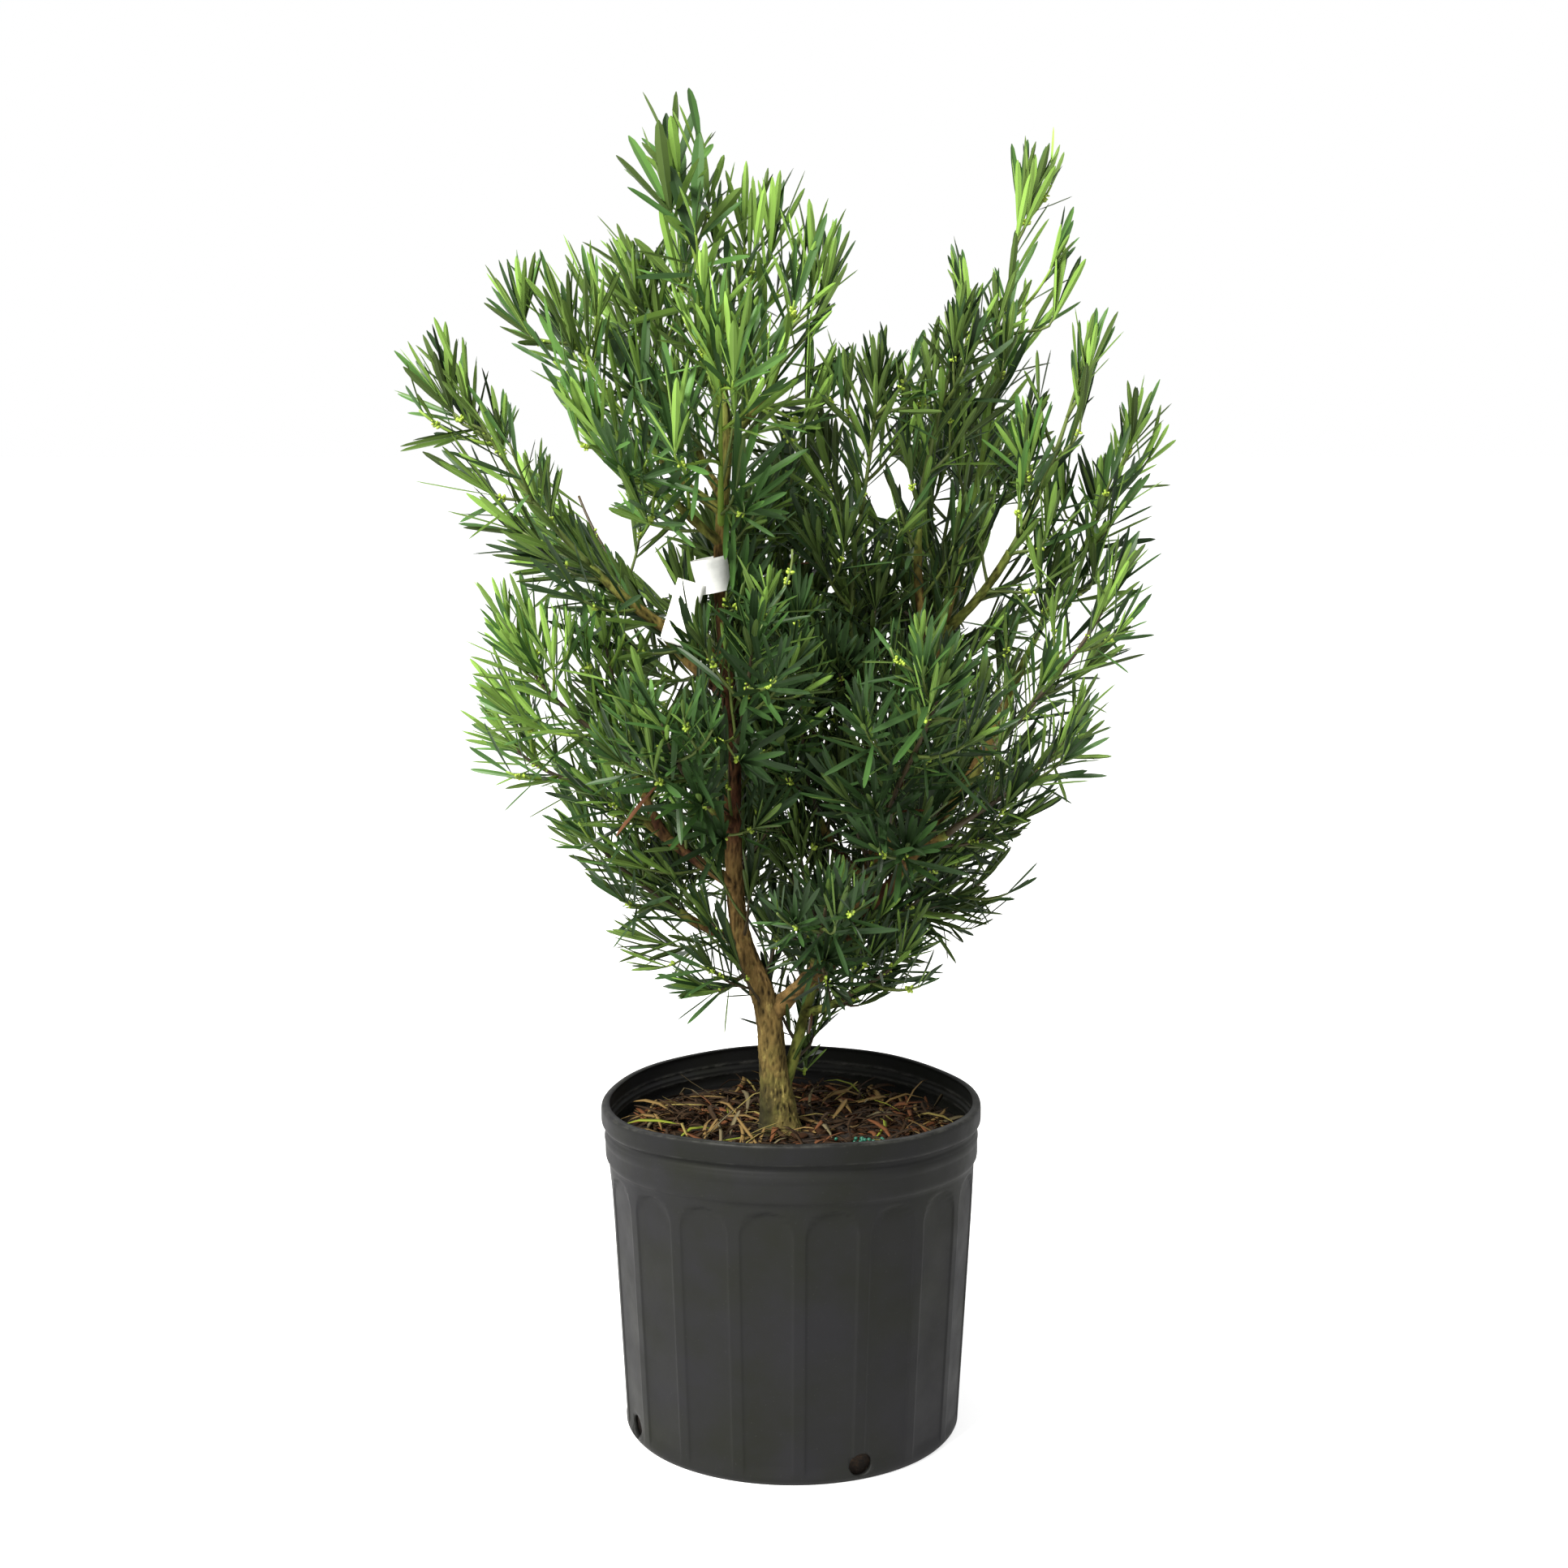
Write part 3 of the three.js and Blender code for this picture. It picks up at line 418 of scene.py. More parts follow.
# The fans of leaves that end shoots of a mass: each runs from its base (x, z) to its leaves' tips
# (x, z), at a depth y, in millimetres
SPRAYS = {
    "crown_top": [((-84, 868), (-87, 935), -2)],
    "top_middle": [
        ((-54, 851), (-52, 906), 30), ((-34, 849), (-34, 909), 36),
        ((-15, 837), (-12, 904), 30),
    ],
    "top_right": [
        ((14, 810), (15, 883), 4), ((20, 810), (37, 875), 0),
        ((5, 780), (46, 838), -6), ((10, 735), (20, 794), -10),
        ((14, 735), (32, 772), -10),
    ],
    "top_left": [
        ((-185, 797), (-179, 849), -8), ((-187, 797), (-210, 833), -14),
        ((-152, 778), (-160, 830), -4), ((-136, 797), (-147, 855), 6),
    ],
    "top_back": [((-111, 805), (-116, 867), 60)],
    "top_front": [((-77, 720), (-72, 768), -96), ((-40, 768), (-44, 813), -96)],
    "left_inner": [
        ((-150, 728), (-170, 763), -74), ((-127, 716), (-151, 768), -74),
        ((-99, 663), (-125, 711), -66),
    ],
    "left_upper": [
        ((-233, 736), (-236, 792), -32), ((-233, 736), (-266, 777), -32),
        ((-219, 735), (-221, 777), -30), ((-214, 686), (-248, 712), -34),
        ((-196, 660), (-232, 684), -34), ((-180, 640), (-212, 655), -34),
        ((-198, 717), (-197, 765), -36), ((-164, 678), (-158, 716), -30),
    ],
    "left_middle": [
        ((-177, 578), (-188, 626), -36), ((-164, 560), (-172, 612), -50),
        ((-184, 566), (-208, 592), -40), ((-154, 588), (-155, 626), -44),
    ],
    "left_low": [
        ((-185, 505), (-211, 549), 0), ((-184, 509), (-192, 570), -6),
        ((-189, 496), (-233, 515), 6),
    ],
    "middle": [((57, 746), (58, 789), -26), ((36, 728), (39, 791), -20), ((95, 751), (88, 795), -22)],
    "right_tall": [((164, 869), (171, 920), 18), ((182, 807), (188, 849), 4)],
    "right_inner": [
        ((122, 797), (118, 849), -14), ((105, 798), (105, 848), -10),
        ((141, 794), (138, 839), -4),
    ],
    "right_high": [
        ((200, 751), (207, 805), -28), ((200, 714), (190, 777), -24),
        ((163, 701), (170, 746), -20), ((162, 695), (146, 738), -20),
        ((169, 628), (160, 664), -16), ((176, 655), (180, 694), -18),
    ],
    "right_outer": [
        ((190, 676), (187, 714), 12), ((196, 612), (189, 652), 12),
        ((212, 624), (212, 664), 8), ((239, 713), (242, 760), 18),
        ((215, 676), (213, 713), 14),
    ],
    "right_middle": [((223, 620), (239, 653), -28)],
    "right_lowest": [((16, 286), (19, 326), 22), ((9, 269), (5, 301), 22)],
    "front_left": [((-93, 506), (-96, 548), -120)],
    "front_middle": [((-1, 652), (-4, 692), -110)],
    "front_right": [
        ((61, 597), (57, 629), -150), ((91, 555), (100, 585), -150),
        ((123, 554), (127, 584), -120),
    ],
    "front_low": [((29, 406), (31, 439), -125)],
}
SPRAY_FOOT = 20 * MM
SPRAY_LEAVES = {"bare": 0.2, "spacing": 6 * MM, "tuft": 9}
# Where on its stem or bough a spray's shoot may start, what a start above its foot costs, and how
# much it leaves along the limb
SPRAY_STARTS = np.linspace(0.2, 0.98, 60)
SPRAY_DROP = 9
SPRAY_ALONG = 0.5
# No other shoot ends this near to a spray
SPRAY_ROOM = 17 * MM

# Where the rows of random numbers begin that are not the solids' own
BUDS_SEED = 1000
LEAVES_SEED = 7
LITTER_SEED = 23

UP = np.array((0.0, 0.0, 1.0))


# ------------------------------------------------------------------ materials

# Moss and painted shade on the trunk's foot: full below a height, none above the other; the painted shade
# only on the left
MOSS = {"full": 225 * MM, "none": 300 * MM, "share": 0.8, "colour": (0.125, 0.118, 0.028, 1)}
PAINTED_FOOT_SHADE = {"full": 235 * MM, "none": 270 * MM, "share": 0.9, "colour": (0.014, 0.013, 0.006, 1)}
PAINTED_SHADE_SIDE = {"full": -17 * MM, "none": -7 * MM}
# Bark by youth, from 0 at the trunk's foot to 1 at green ends: a darker and a lighter colour
BARK_AGES = [
    (0.0, (0.034, 0.026, 0.008), (0.125, 0.102, 0.032)),
    (0.25, (0.050, 0.031, 0.010), (0.185, 0.120, 0.038)),
    # Lighter than the rows round it: painted sunlight on the lower trunk, where the crown casts shade
    (0.38, (0.075, 0.044, 0.015), (0.270, 0.165, 0.060)),
    (0.5, (0.024, 0.010, 0.006), (0.090, 0.035, 0.018)),
    # The leader's own olive-tan, lightened partly as painted light against the crown's shade
    (0.7, (0.085, 0.055, 0.016), (0.22, 0.145, 0.042)),
    (0.9, (0.062, 0.078, 0.014), (0.14, 0.17, 0.034)),
]


def add_node(tree, kind, inputs=None, **settings):
    """A shader node with its settings, its inputs set to values or linked to sockets."""
    made = tree.nodes.new(kind)
    for key, value in settings.items():
        setattr(made, key, value)
    for key, value in (inputs or {}).items():
        if isinstance(value, bpy.types.NodeSocket):
            tree.links.new(value, made.inputs[key])
        else:
            made.inputs[key].default_value = value
    return made


def new_material(name, roughness, specular):
    made = bpy.data.materials.new(name)
    made.use_nodes = True
    shader = made.node_tree.nodes["Principled BSDF"]
    shader.inputs["Roughness"].default_value = roughness
    shader.inputs["Specular IOR Level"].default_value = specular
    return made, made.node_tree, shader


def place_of(tree, stretch=(1, 1, 1)):
    """Where a point lies in the object, stretched along its axes."""
    inputs = {"Vector": add_node(tree, "ShaderNodeTexCoord").outputs["Object"], "Scale": stretch}
    return add_node(tree, "ShaderNodeMapping", inputs).outputs["Vector"]


def mark_of(tree, name):
    """A value that the mesh holds for each of its points."""
    return add_node(tree, "ShaderNodeAttribute", attribute_name=name).outputs["Fac"]


def noise_of(tree, place, scale, detail=4, rough=0.55):
    inputs = {"Vector": place, "Scale": scale, "Detail": detail, "Roughness": rough}
    return add_node(tree, "ShaderNodeTexNoise", inputs).outputs["Fac"]


def ramp_of(tree, value, stops):
    """A colour ramp whose stops are (position, colour)."""
    made = add_node(tree, "ShaderNodeValToRGB", {"Fac": value})
    ramp = made.color_ramp
    while len(ramp.elements) < len(stops):
        ramp.elements.new(0.5)
    for element, (position, colour) in zip(ramp.elements, stops):
        element.position = position
        element.color = (*colour, 1)
    return made.outputs["Color"]


def mix_of(tree, share, first, second, blend="MIX"):
    inputs = {0: share, 6: first, 7: second}
    return add_node(tree, "ShaderNodeMix", inputs, data_type="RGBA", blend_type=blend).outputs[2]


def product_of(tree, operation, first, second):
    """Two shader values added or multiplied."""
    return add_node(tree, "ShaderNodeMath", {0: first, 1: second}, operation=operation).outputs[0]


def range_of(tree, value, low, high, to_low=0.0, to_high=1.0):
    """A value from low to high, spread to run from to_low to to_high."""
    inputs = {"Value": value, "From Min": low, "From Max": high, "To Min": to_low, "To Max": to_high}
    return add_node(tree, "ShaderNodeMapRange", inputs).outputs["Result"]


def bump(tree, shader, height, strength, distance):
    inputs = {"Height": height, "Strength": strength, "Distance": distance}
    made = add_node(tree, "ShaderNodeBump", inputs)
    tree.links.new(made.outputs["Normal"], shader.inputs["Normal"])


def plain_material(name, colour, roughness=0.45, specular=0.3):
    """One colour all over, for the many small things that are joined into one piece."""
    made, tree, shader = new_material(name, roughness, specular)
    shader.inputs["Base Color"].default_value = (*colour, 1)
    return made


def bark_material():
    """Bark by its youth, from mossy grey-tan at the foot through red-brown to green at the ends."""
    made, tree, shader = new_material("bark", 0.9, 0.1)
    place = place_of(tree)
    ways = add_node(tree, "ShaderNodeSeparateXYZ", {"Vector": place}).outputs
    height, side = ways["Z"], ways["X"]
    stretched = place_of(tree, (1, 1, 0.4))
    patches = noise_of(tree, stretched, 55, 6, 0.65)
    streaks = noise_of(tree, place_of(tree, (1, 1, 0.2)), 230, 9, 0.75)
    youth = mark_of(tree, "youth")
    shaken = product_of(tree, "ADD", youth, range_of(tree, patches, 0.3, 0.7, -0.09, 0.09))
    dark = ramp_of(tree, shaken, [(at, low) for at, low, high in BARK_AGES])
    light = ramp_of(tree, shaken, [(at, high) for at, low, high in BARK_AGES])
    broad = range_of(tree, patches, 0.34, 0.68, 0, 0.5)
    fine = range_of(tree, streaks, 0.40, 0.60, 0, 0.5)
    bark = mix_of(tree, product_of(tree, "ADD", broad, fine), dark, light)
    moss_patches = range_of(tree, noise_of(tree, place, 75, 5, 0.6), 0.48, 0.6)
    low = range_of(tree, height, MOSS["full"], MOSS["none"], MOSS["share"], 0)
    mossy = mix_of(tree, product_of(tree, "MULTIPLY", moss_patches, low), bark, MOSS["colour"])
    old = range_of(tree, youth, 0.1, 0.4, 0.8, 0)
    flecks = range_of(tree, noise_of(tree, stretched, 210, 6, 0.7), 0.56, 0.64)
    flecked = mix_of(tree, product_of(tree, "MULTIPLY", flecks, old), mossy, (0.25, 0.20, 0.062, 1))
    cracks = range_of(tree, mark_of(tree, "relief"), -0.8, 0.15, 0.12, 1)
    cracked = mix_of(tree, 1.0, flecked, cracks, "MULTIPLY")
    # Painted shade: the trunk's foot is darkened on its left side, low down
    foot = range_of(tree, height, PAINTED_FOOT_SHADE["full"], PAINTED_FOOT_SHADE["none"], PAINTED_FOOT_SHADE["share"], 0)
    left = range_of(tree, side, PAINTED_SHADE_SIDE["full"], PAINTED_SHADE_SIDE["none"], 1, 0)
    shaded_foot = mix_of(tree, product_of(tree, "MULTIPLY", foot, left), cracked, PAINTED_FOOT_SHADE["colour"])
    tree.links.new(shaded_foot, shader.inputs["Base Color"])
    bump(tree, shader, noise_of(tree, place_of(tree, (1, 1, 0.3)), 420, 6, 0.7), 0.7, 1.0 * MM)
    return made


def pot_material():
    """Dark moulded plastic, faintly olive with bluish patches, dusty, with pale scuffs on its inner rings,
    painted highlights along the lip's edges and painted shade on the lip.
    """
    made, tree, shader = new_material("pot_plastic", 0.55, 0.08)
    place = place_of(tree)
    patches = noise_of(tree, place, 14, 5, 0.6)
    base = ramp_of(tree, patches, [(0.35, (0.0085, 0.0090, 0.0070)), (0.62, (0.0105, 0.0105, 0.0115))])
    specks = range_of(tree, noise_of(tree, place, 900, 2, 0.4), 0.70, 0.78, 0, 0.3)
    dusty = mix_of(tree, specks, base, (0.045, 0.045, 0.042, 1))
    streaks = noise_of(tree, place_of(tree, (1, 1, 0.12)), 60, 6, 0.7)
    scuffs = range_of(tree, streaks, 0.64, 0.80, 0, 0.3)
    scuffed = mix_of(tree, scuffs, dusty, (0.032, 0.032, 0.030, 1))
    # Pale marks: rubbed wear on the inner rings, and painted highlights along the lip's edges, broken up by
    # noise
    rings = mark_of(tree, "ring")
    wear_and_highlight_breaks = range_of(tree, noise_of(tree, place_of(tree, (1, 1, 3)), 70, 6, 0.75), 0.45, 0.75)
    worn_and_highlit = mix_of(tree, product_of(tree, "MULTIPLY", rings, wear_and_highlight_breaks), scuffed, (0.066, 0.066, 0.058, 1))
    # Painted shade: the lip's outside is darkened above a height
    lip_shade = mark_of(tree, "lip")
    rubbed = mix_of(tree, 1.0, worn_and_highlit, range_of(tree, lip_shade, 0, 1, 1, 0.78), "MULTIPLY")
    tree.links.new(rubbed, shader.inputs["Base Color"])
    gloss = range_of(tree, noise_of(tree, place, 30, 4), 0.3, 0.7, 0.48, 0.62)
    tree.links.new(gloss, shader.inputs["Roughness"])
    bump(tree, shader, noise_of(tree, place, 260, 4, 0.6), 0.08, 0.6 * MM)
    return made


def soil_material():
    """Damp potting mix: near black to brown crumbs."""
    made, tree, shader = new_material("potting_mix", 0.9, 0.2)
    place = place_of(tree)
    crumbs = noise_of(tree, place, 170, 8, 0.75)
    stops = [(0.36, (0.004, 0.003, 0.002)), (0.52, (0.015, 0.009, 0.005)), (0.68, (0.048, 0.026, 0.013))]
    tree.links.new(ramp_of(tree, crumbs, stops), shader.inputs["Base Color"])
    bump(tree, shader, crumbs, 0.9, 3 * MM)
    return made


def tag_material():
    """Bare white plastic film with faint handling marks."""
    made, tree, shader = new_material("tag_film", 0.35, 0.5)
    marks = noise_of(tree, place_of(tree), 130, 4, 0.6)
    stops = [(0.35, (0.80, 0.80, 0.78)), (0.6, (0.92, 0.92, 0.90))]
    tree.links.new(ramp_of(tree, marks, stops), shader.inputs["Base Color"])
    bump(tree, shader, noise_of(tree, place_of(tree), 60, 2), 0.1, 0.5 * MM)
    return made


def floor_material():
    """A pale floor that is lit from behind, so that shadows on it stay faint."""
    made, tree, shader = new_material("pale_floor", 0.9, 0.1)
    shader.inputs["Base Color"].default_value = (0.5, 0.5, 0.5, 1)
    shader.inputs["Emission Color"].default_value = (1, 1, 1, 1)
    shader.inputs["Emission Strength"].default_value = FLOOR_SHINE
    return made


# ------------------------------------------------------------------ meshes


class Shape:
    """Points and faces gathered for one mesh."""

    def __init__(self, smooth=True):
        self.smooth = smooth
        self.points = []
        self.quads = []
        self.triangles = []
        self.kinds = []
        self.marks = {}
        self.count = 0

    def add(self, points, quads, triangles=None, kinds=None, **marks):
        """kinds tells which material each quad wears, and marks hold a value for each point."""
        self.quads.append(quads + self.count)
        self.kinds.append(np.zeros(len(quads), int) if kinds is None else kinds)
        if triangles is not None:
            self.triangles.append(triangles + self.count)
        self.points.append(points)
        for name, values in marks.items():
            self.marks.setdefault(name, []).append(values)
        self.count += len(points)

    def mesh(self, name):
        quads = np.concatenate(self.quads)
        triangles = np.concatenate(self.triangles or [np.empty((0, 3), int)])
        made = bpy.data.meshes.new(name)
        made.vertices.add(self.count)
        made.vertices.foreach_set("co", np.concatenate(self.points).astype(np.float32).ravel())
        corners = np.concatenate([quads.ravel(), triangles.ravel()]).astype(np.int32)
        made.loops.add(len(corners))
        made.loops.foreach_set("vertex_index", corners)
        after = 4 * len(quads)
        starts = np.concatenate([np.arange(len(quads)) * 4, after + np.arange(len(triangles)) * 3])
        made.polygons.add(len(starts))
        made.polygons.foreach_set("loop_start", starts.astype(np.int32))
        made.polygons.foreach_set("use_smooth", np.full(len(starts), self.smooth))
        kinds = np.zeros(len(starts), np.int32)
        kinds[: len(quads)] = np.concatenate(self.kinds)
        made.polygons.foreach_set("material_index", kinds)
        made.update(calc_edges=True)
        for mark, values in self.marks.items():
            made.attributes.new(mark, "FLOAT", "POINT")
            made.attributes[mark].data.foreach_set("value", np.concatenate(values))
        made.validate()
        return made


def add_piece(name, shape, materials, slot, *nodes):
    """A visible piece in the plant's one body, standing for the CAD nodes that are named."""
    made = bpy.data.objects.new(name, shape.mesh(name))
    bpy.context.scene.collection.objects.link(made)
    for material in materials:
        made.data.materials.append(material)
    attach(made, "root")
    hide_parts(*nodes)
    return made


def unit(vectors):
    return vectors / np.maximum(1e-12, np.linalg.norm(vectors, axis=-1, keepdims=True))


def grid_quads(rows, columns):
    """Faces of a grid of points that closes on itself along its columns."""
    row, column = np.meshgrid(np.arange(rows - 1), np.arange(columns), indexing="ij")
    here = row * columns + column
    beside = row * columns + (column + 1) % columns
    return np.stack([here, beside, beside + columns, here + columns], axis=-1).reshape(-1, 4)


def turns_round(count):
    """Angles that share a whole turn evenly."""
    return 2 * np.pi * np.arange(count) / count


def ring_points(radii, heights, angles):
    """Rings of points round the axis. radii and heights hold a row for each ring."""
    sides = (radii * np.cos(angles), radii * np.sin(angles), heights)
    return np.stack(np.broadcast_arrays(*sides), axis=-1)


def closed_rings(rings, ends):
    """Rings of points, one after the other, closed by a point at each end: points and faces."""
    rows, columns = rings.shape[:2]
    total = rows * columns
    here = np.arange(columns)
    beside = (here + 1) % columns
    last = total - columns
    first_cap = np.stack([beside, here, np.full(columns, total)], axis=-1)
    last_cap = np.stack([last + here, last + beside, np.full(columns, total + 1)], axis=-1)
    points = np.concatenate([rings.reshape(-1, 3), ends])
    return points, grid_quads(rows, columns), np.concatenate([first_cap, last_cap])


def directions_round(points, columns):
    """Directions round a chain of points at each of them, which turn as little as may be."""
    headings = unit(np.gradient(points, axis=0))
    first = np.eye(3)[np.argmin(np.abs(headings[0]))]
    sides = [unit(np.cross(headings[0], first))]
    for heading in headings[1:]:
        carried = sides[-1] - heading * np.dot(sides[-1], heading)
        sides.append(unit(carried))
    sides = np.array(sides)
    others = np.cross(headings, sides)
    angle = turns_round(columns)[:, None]
    return sides[:, None] * np.cos(angle) + others[:, None] * np.sin(angle)


def add_tube(shape, points, radii, columns, **marks):
    """A closed tube along points. radii and marks hold a value for each point and column."""
    radii = np.broadcast_to(np.asarray(radii).reshape(len(points), -1), (len(points), columns))
    rings = points[:, None] + directions_round(points, columns) * radii[..., None]
    marks = {
        mark: np.concatenate([values.ravel(), values[0, :1], values[-1, :1]])
        for mark, values in marks.items()
    }
    shape.add(*closed_rings(rings, points[[0, -1]]), **marks)


# ------------------------------------------------------------------ curves and limbs


CURVE_PARTS = {"twig": 24, "limb": 200}
HEADING_STEP = 0.004


class Curve:
    """A curve that is read by the share of its length. place gives its points at an array."""

    def __init__(self, place, parts):
        self.place = place
        self.steps = np.linspace(0, 1, parts + 1)
        points = place(self.steps)
        self.measured = np.concatenate([[0], np.cumsum(np.linalg.norm(np.diff(points, axis=0), axis=1))])
        self.length = self.measured[-1]

    def points(self, shares):
        return self.place(np.interp(np.asarray(shares) * self.length, self.measured, self.steps))

    def point(self, share):
        return self.points([share])[0]

    def headings(self, shares):
        shares = np.asarray(shares, float)
        ahead = self.points(np.minimum(1, shares + HEADING_STEP))
        return unit(ahead - self.points(np.maximum(0, shares - HEADING_STEP)))

    def heading(self, share):
        return self.headings([share])[0]


def sweep(start, leaving, end, arriving, parts=CURVE_PARTS["twig"]):
    """A curve between two points that leaves and arrives in the given directions."""
    pull = CURVE_PULL * np.linalg.norm(end - start)
    leave, arrive = start + leaving * pull, end - arriving * pull

    def place(shares):
        t = np.asarray(shares)[:, None]
        s = 1 - t
        return start * s**3 + 3 * leave * t * s**2 + 3 * arrive * t**2 * s + end * t**3

    return Curve(place, parts)


def smooth_through(points):
    """A curve through points, with the centripetal spacing that keeps it from looping."""
    before = 2 * points[0] - points[1]
    after = 2 * points[-1] - points[-2]
    knots = np.vstack([before, points, after])
    last = len(points) - 2

    def place(shares):
        whole = np.asarray(shares) * (last + 1)
        part = np.minimum(whole.astype(int), last)
        t = (whole - part)[:, None]
        a, b, c, d = (knots[part + i] for i in range(4))
        chords = (np.linalg.norm(q - p, axis=1) for p, q in ((a, b), (b, c), (c, d)))
        ab, bc, cd = (np.sqrt(chord)[:, None] for chord in chords)
        from_b = bc * ((b - a) / ab - (c - a) / (ab + bc) + (c - b) / bc)
        to_c = bc * ((c - b) / bc - (d - b) / (bc + cd) + (d - c) / cd)
        square = 3 * (c - b) - 2 * from_b - to_c
        cube = 2 * (b - c) + from_b + to_c
        return b + from_b * t + square * t**2 + cube * t**3

    return Curve(place, CURVE_PARTS["limb"])


def trunk_radii(heights, angles):
    """The trunk's radius for each height and angle; its foot flares into lobes."""
    levels = [at[2] * MM for at, radius in TRUNK]
    plain = np.interp(heights, levels, [radius * MM for at, radius in TRUNK])
    flare = np.maximum(0, 1 - (heights - SOIL_TOP) / FLARE_HEIGHT)
    return plain[:, None] * (1 + FLARE_DEPTH * flare[:, None] * np.cos(FLARE_LOBES * angles))


def share_at_height(curve, height):
    shares = np.linspace(0, 1, HEIGHT_STEPS)
    return shares[np.searchsorted(curve.points(shares)[:, 2], height)]


def leaving_direction(start, end):
    """A branch leaves along its chord, laid over a little towards the level."""
    chord = unit(end - start)
    return unit(chord + LAY * chord * (1, 1, 0))


def bough_radius(row, shares):
    return row["foot"] + (BOUGH_TIP_RADIUS - row["foot"]) * np.asarray(shares) ** BOUGH_TAPER


def grow_limbs():
    """The trunk's curve and each bough's, by name."""
    limbs = {"trunk": smooth_through(np.array([at for at, radius in TRUNK]) * MM)}
    for row in BRANCHES:
        if row["bough"] is None:
            continue
        parent = limbs[row["parent"]]
        start = parent.point(share_at_height(parent, row["height"]))
        end = row["bough"]
        arriving = unit(unit(end - start) + unit(row["tip"] - end))
        limbs[row["name"]] = sweep(
            start, leaving_direction(start, end), end, arriving, CURVE_PARTS["limb"]
        )
    return limbs


# ------------------------------------------------------------------ room for the foliage


def distances(points, starts, ends):
    """How far each point lies from each straight run, and at what part of the run."""
    runs = ends - starts
    squares = np.maximum(1e-12, (runs**2).sum(1))
    parts = np.einsum("nsk,sk->ns", points[:, None] - starts, runs) / squares
    parts = np.clip(parts, 0, 1)
    nearest = starts + parts[..., None] * runs
    return np.linalg.norm(points[:, None] - nearest, axis=2), parts


def strips(rows):
    """The ends and half widths of strips that are written in millimetres."""
    ends = [[(x * MM, 0, z * MM) for x, z in (low, high)] for low, high, half in rows]
    starts, ends = np.array(ends).transpose(1, 0, 2)
    return starts, ends, np.array([half for low, high, half in rows]) * MM


def seen_flat(points):
    """Where points appear from the front, in the plane y = 0."""
    eye = np.array(CAMERA_PLACE)
    return eye + (points - eye) * (-eye[1] / (points[:, 1:2] - eye[1]))


def limb_runs(limbs):
    """The ends and radii of straight runs along every limb, and of those that keep the tag free."""
    runs, radii = [], []
    for name, curve in limbs.items():
        shares = np.linspace(0, 1, max(4, round(curve.length / LIMB_RUN)) + 1)
        chain = curve.points(shares)
        runs.append(np.stack([chain[:-1], chain[1:]]))
        if name == "trunk":
            radii.append(trunk_radii(chain[:-1, 2], np.zeros(1))[:, 0])
        else:
            row = next(row for row in BRANCHES if row["name"] == name)
            radii.append(bough_radius(row, shares[:-1]))
    centre = np.array(TAG_CENTRE)
    half = UP * TAG_WIDTH / 2
    tag = [(centre - half, centre + half), (centre, centre + TAG_SIGHT), (TAIL_TOP, TAIL_FOOT)]
    runs.append(np.array(tag).transpose(1, 0, 2))
    radii.append(np.array([TAG_RADIUS + TAG_ROOM, TAG_RADIUS, TAIL_WIDTH / 2]))
    return np.concatenate(runs, axis=1), np.concatenate(radii)


class Room:
    """The spaces of the masses, the limbs that leaves keep clear of and the openings to the sky."""

    def __init__(self, masses, limbs):
        chains = [mass["chain"] for mass in masses]
        self.starts = np.concatenate([chain[:-1] for chain in chains])
        self.ends = np.concatenate([chain[1:] for chain in chains])
        self.owner = np.concatenate([np.full(len(c) - 1, i) for i, c in enumerate(chains)])
        self.reach = np.concatenate([np.stack([m["reach"][:-1], m["reach"][1:]], 1) for m in masses])
        (self.limb_starts, self.limb_ends), self.limb_radii = limb_runs(limbs)
        self.openings, self.clearings = strips(OPENINGS), strips(CLEARINGS)

    def inside(self, points, mass, share):
        """Which points lie in a mass's space, or a little way over its border."""
        away, parts = distances(points, self.starts, self.ends)
        own = self.owner == mass["index"]
        row = np.arange(len(points))
        nearest = away[:, own].argmin(1)
        part = parts[:, own][row, nearest]
        low, high = self.reach[own][nearest].T
        near = away[:, own][row, nearest]
        others = away[:, ~own].min(1)
        reach = share * (low + (high - low) * part)
        return (points[:, 2] >= LOWEST_LEAF) & (near <= reach) & (others > near - SPACE_OVERLAP)

    def clear(self, points, half):
        """Which points lie outside every limb by a half width."""
        away, parts = distances(points, self.limb_starts, self.limb_ends)
        return (away > self.limb_radii + half + LIMB_CLEARANCE).all(1)

    def before_sky(self, points):
        """Which points would stand in an opening, seen from the front."""
        starts, ends, halves = self.openings
        away, parts = distances(seen_flat(points), starts, ends)
        return (away < OPENING_SHARE * halves).any(1)

    def before_trunk(self, points):
        """Which points would hide the trunk where it stays in sight."""
        starts, ends, halves = self.clearings
        away, parts = distances(seen_flat(points), starts, ends)
        return (away < halves).any(1) & (points[:, 1] < 0)


# ------------------------------------------------------------------ foliage


class Seeded:
    """The row of numbers from 0 to 1 that the solids grow by."""

    def __init__(self, seed):
        self.state = seed

    def __call__(self):
        self.state = (self.state + 0x6D2B79F5) & 0xFFFFFFFF
        state = self.state
        mixed = ((state ^ (state >> 15)) * (1 | state)) & 0xFFFFFFFF
        mixed = ((mixed + ((mixed ^ (mixed >> 7)) * (61 | mixed))) & 0xFFFFFFFF) ^ mixed
        return (mixed ^ (mixed >> 14)) / 4294967296

    def between(self, bounds):
        low, high = bounds
        return low + (high - low) * self()


def varied(varies, random, *size):
    """A least value with what chance adds to it."""
    least, most_added = varies
    return least + most_added * random.random(*size)


def scattered(width, random, *size):
    """Values that chance scatters over a width round 0."""
    return width * (random.random(*size) - 0.5)


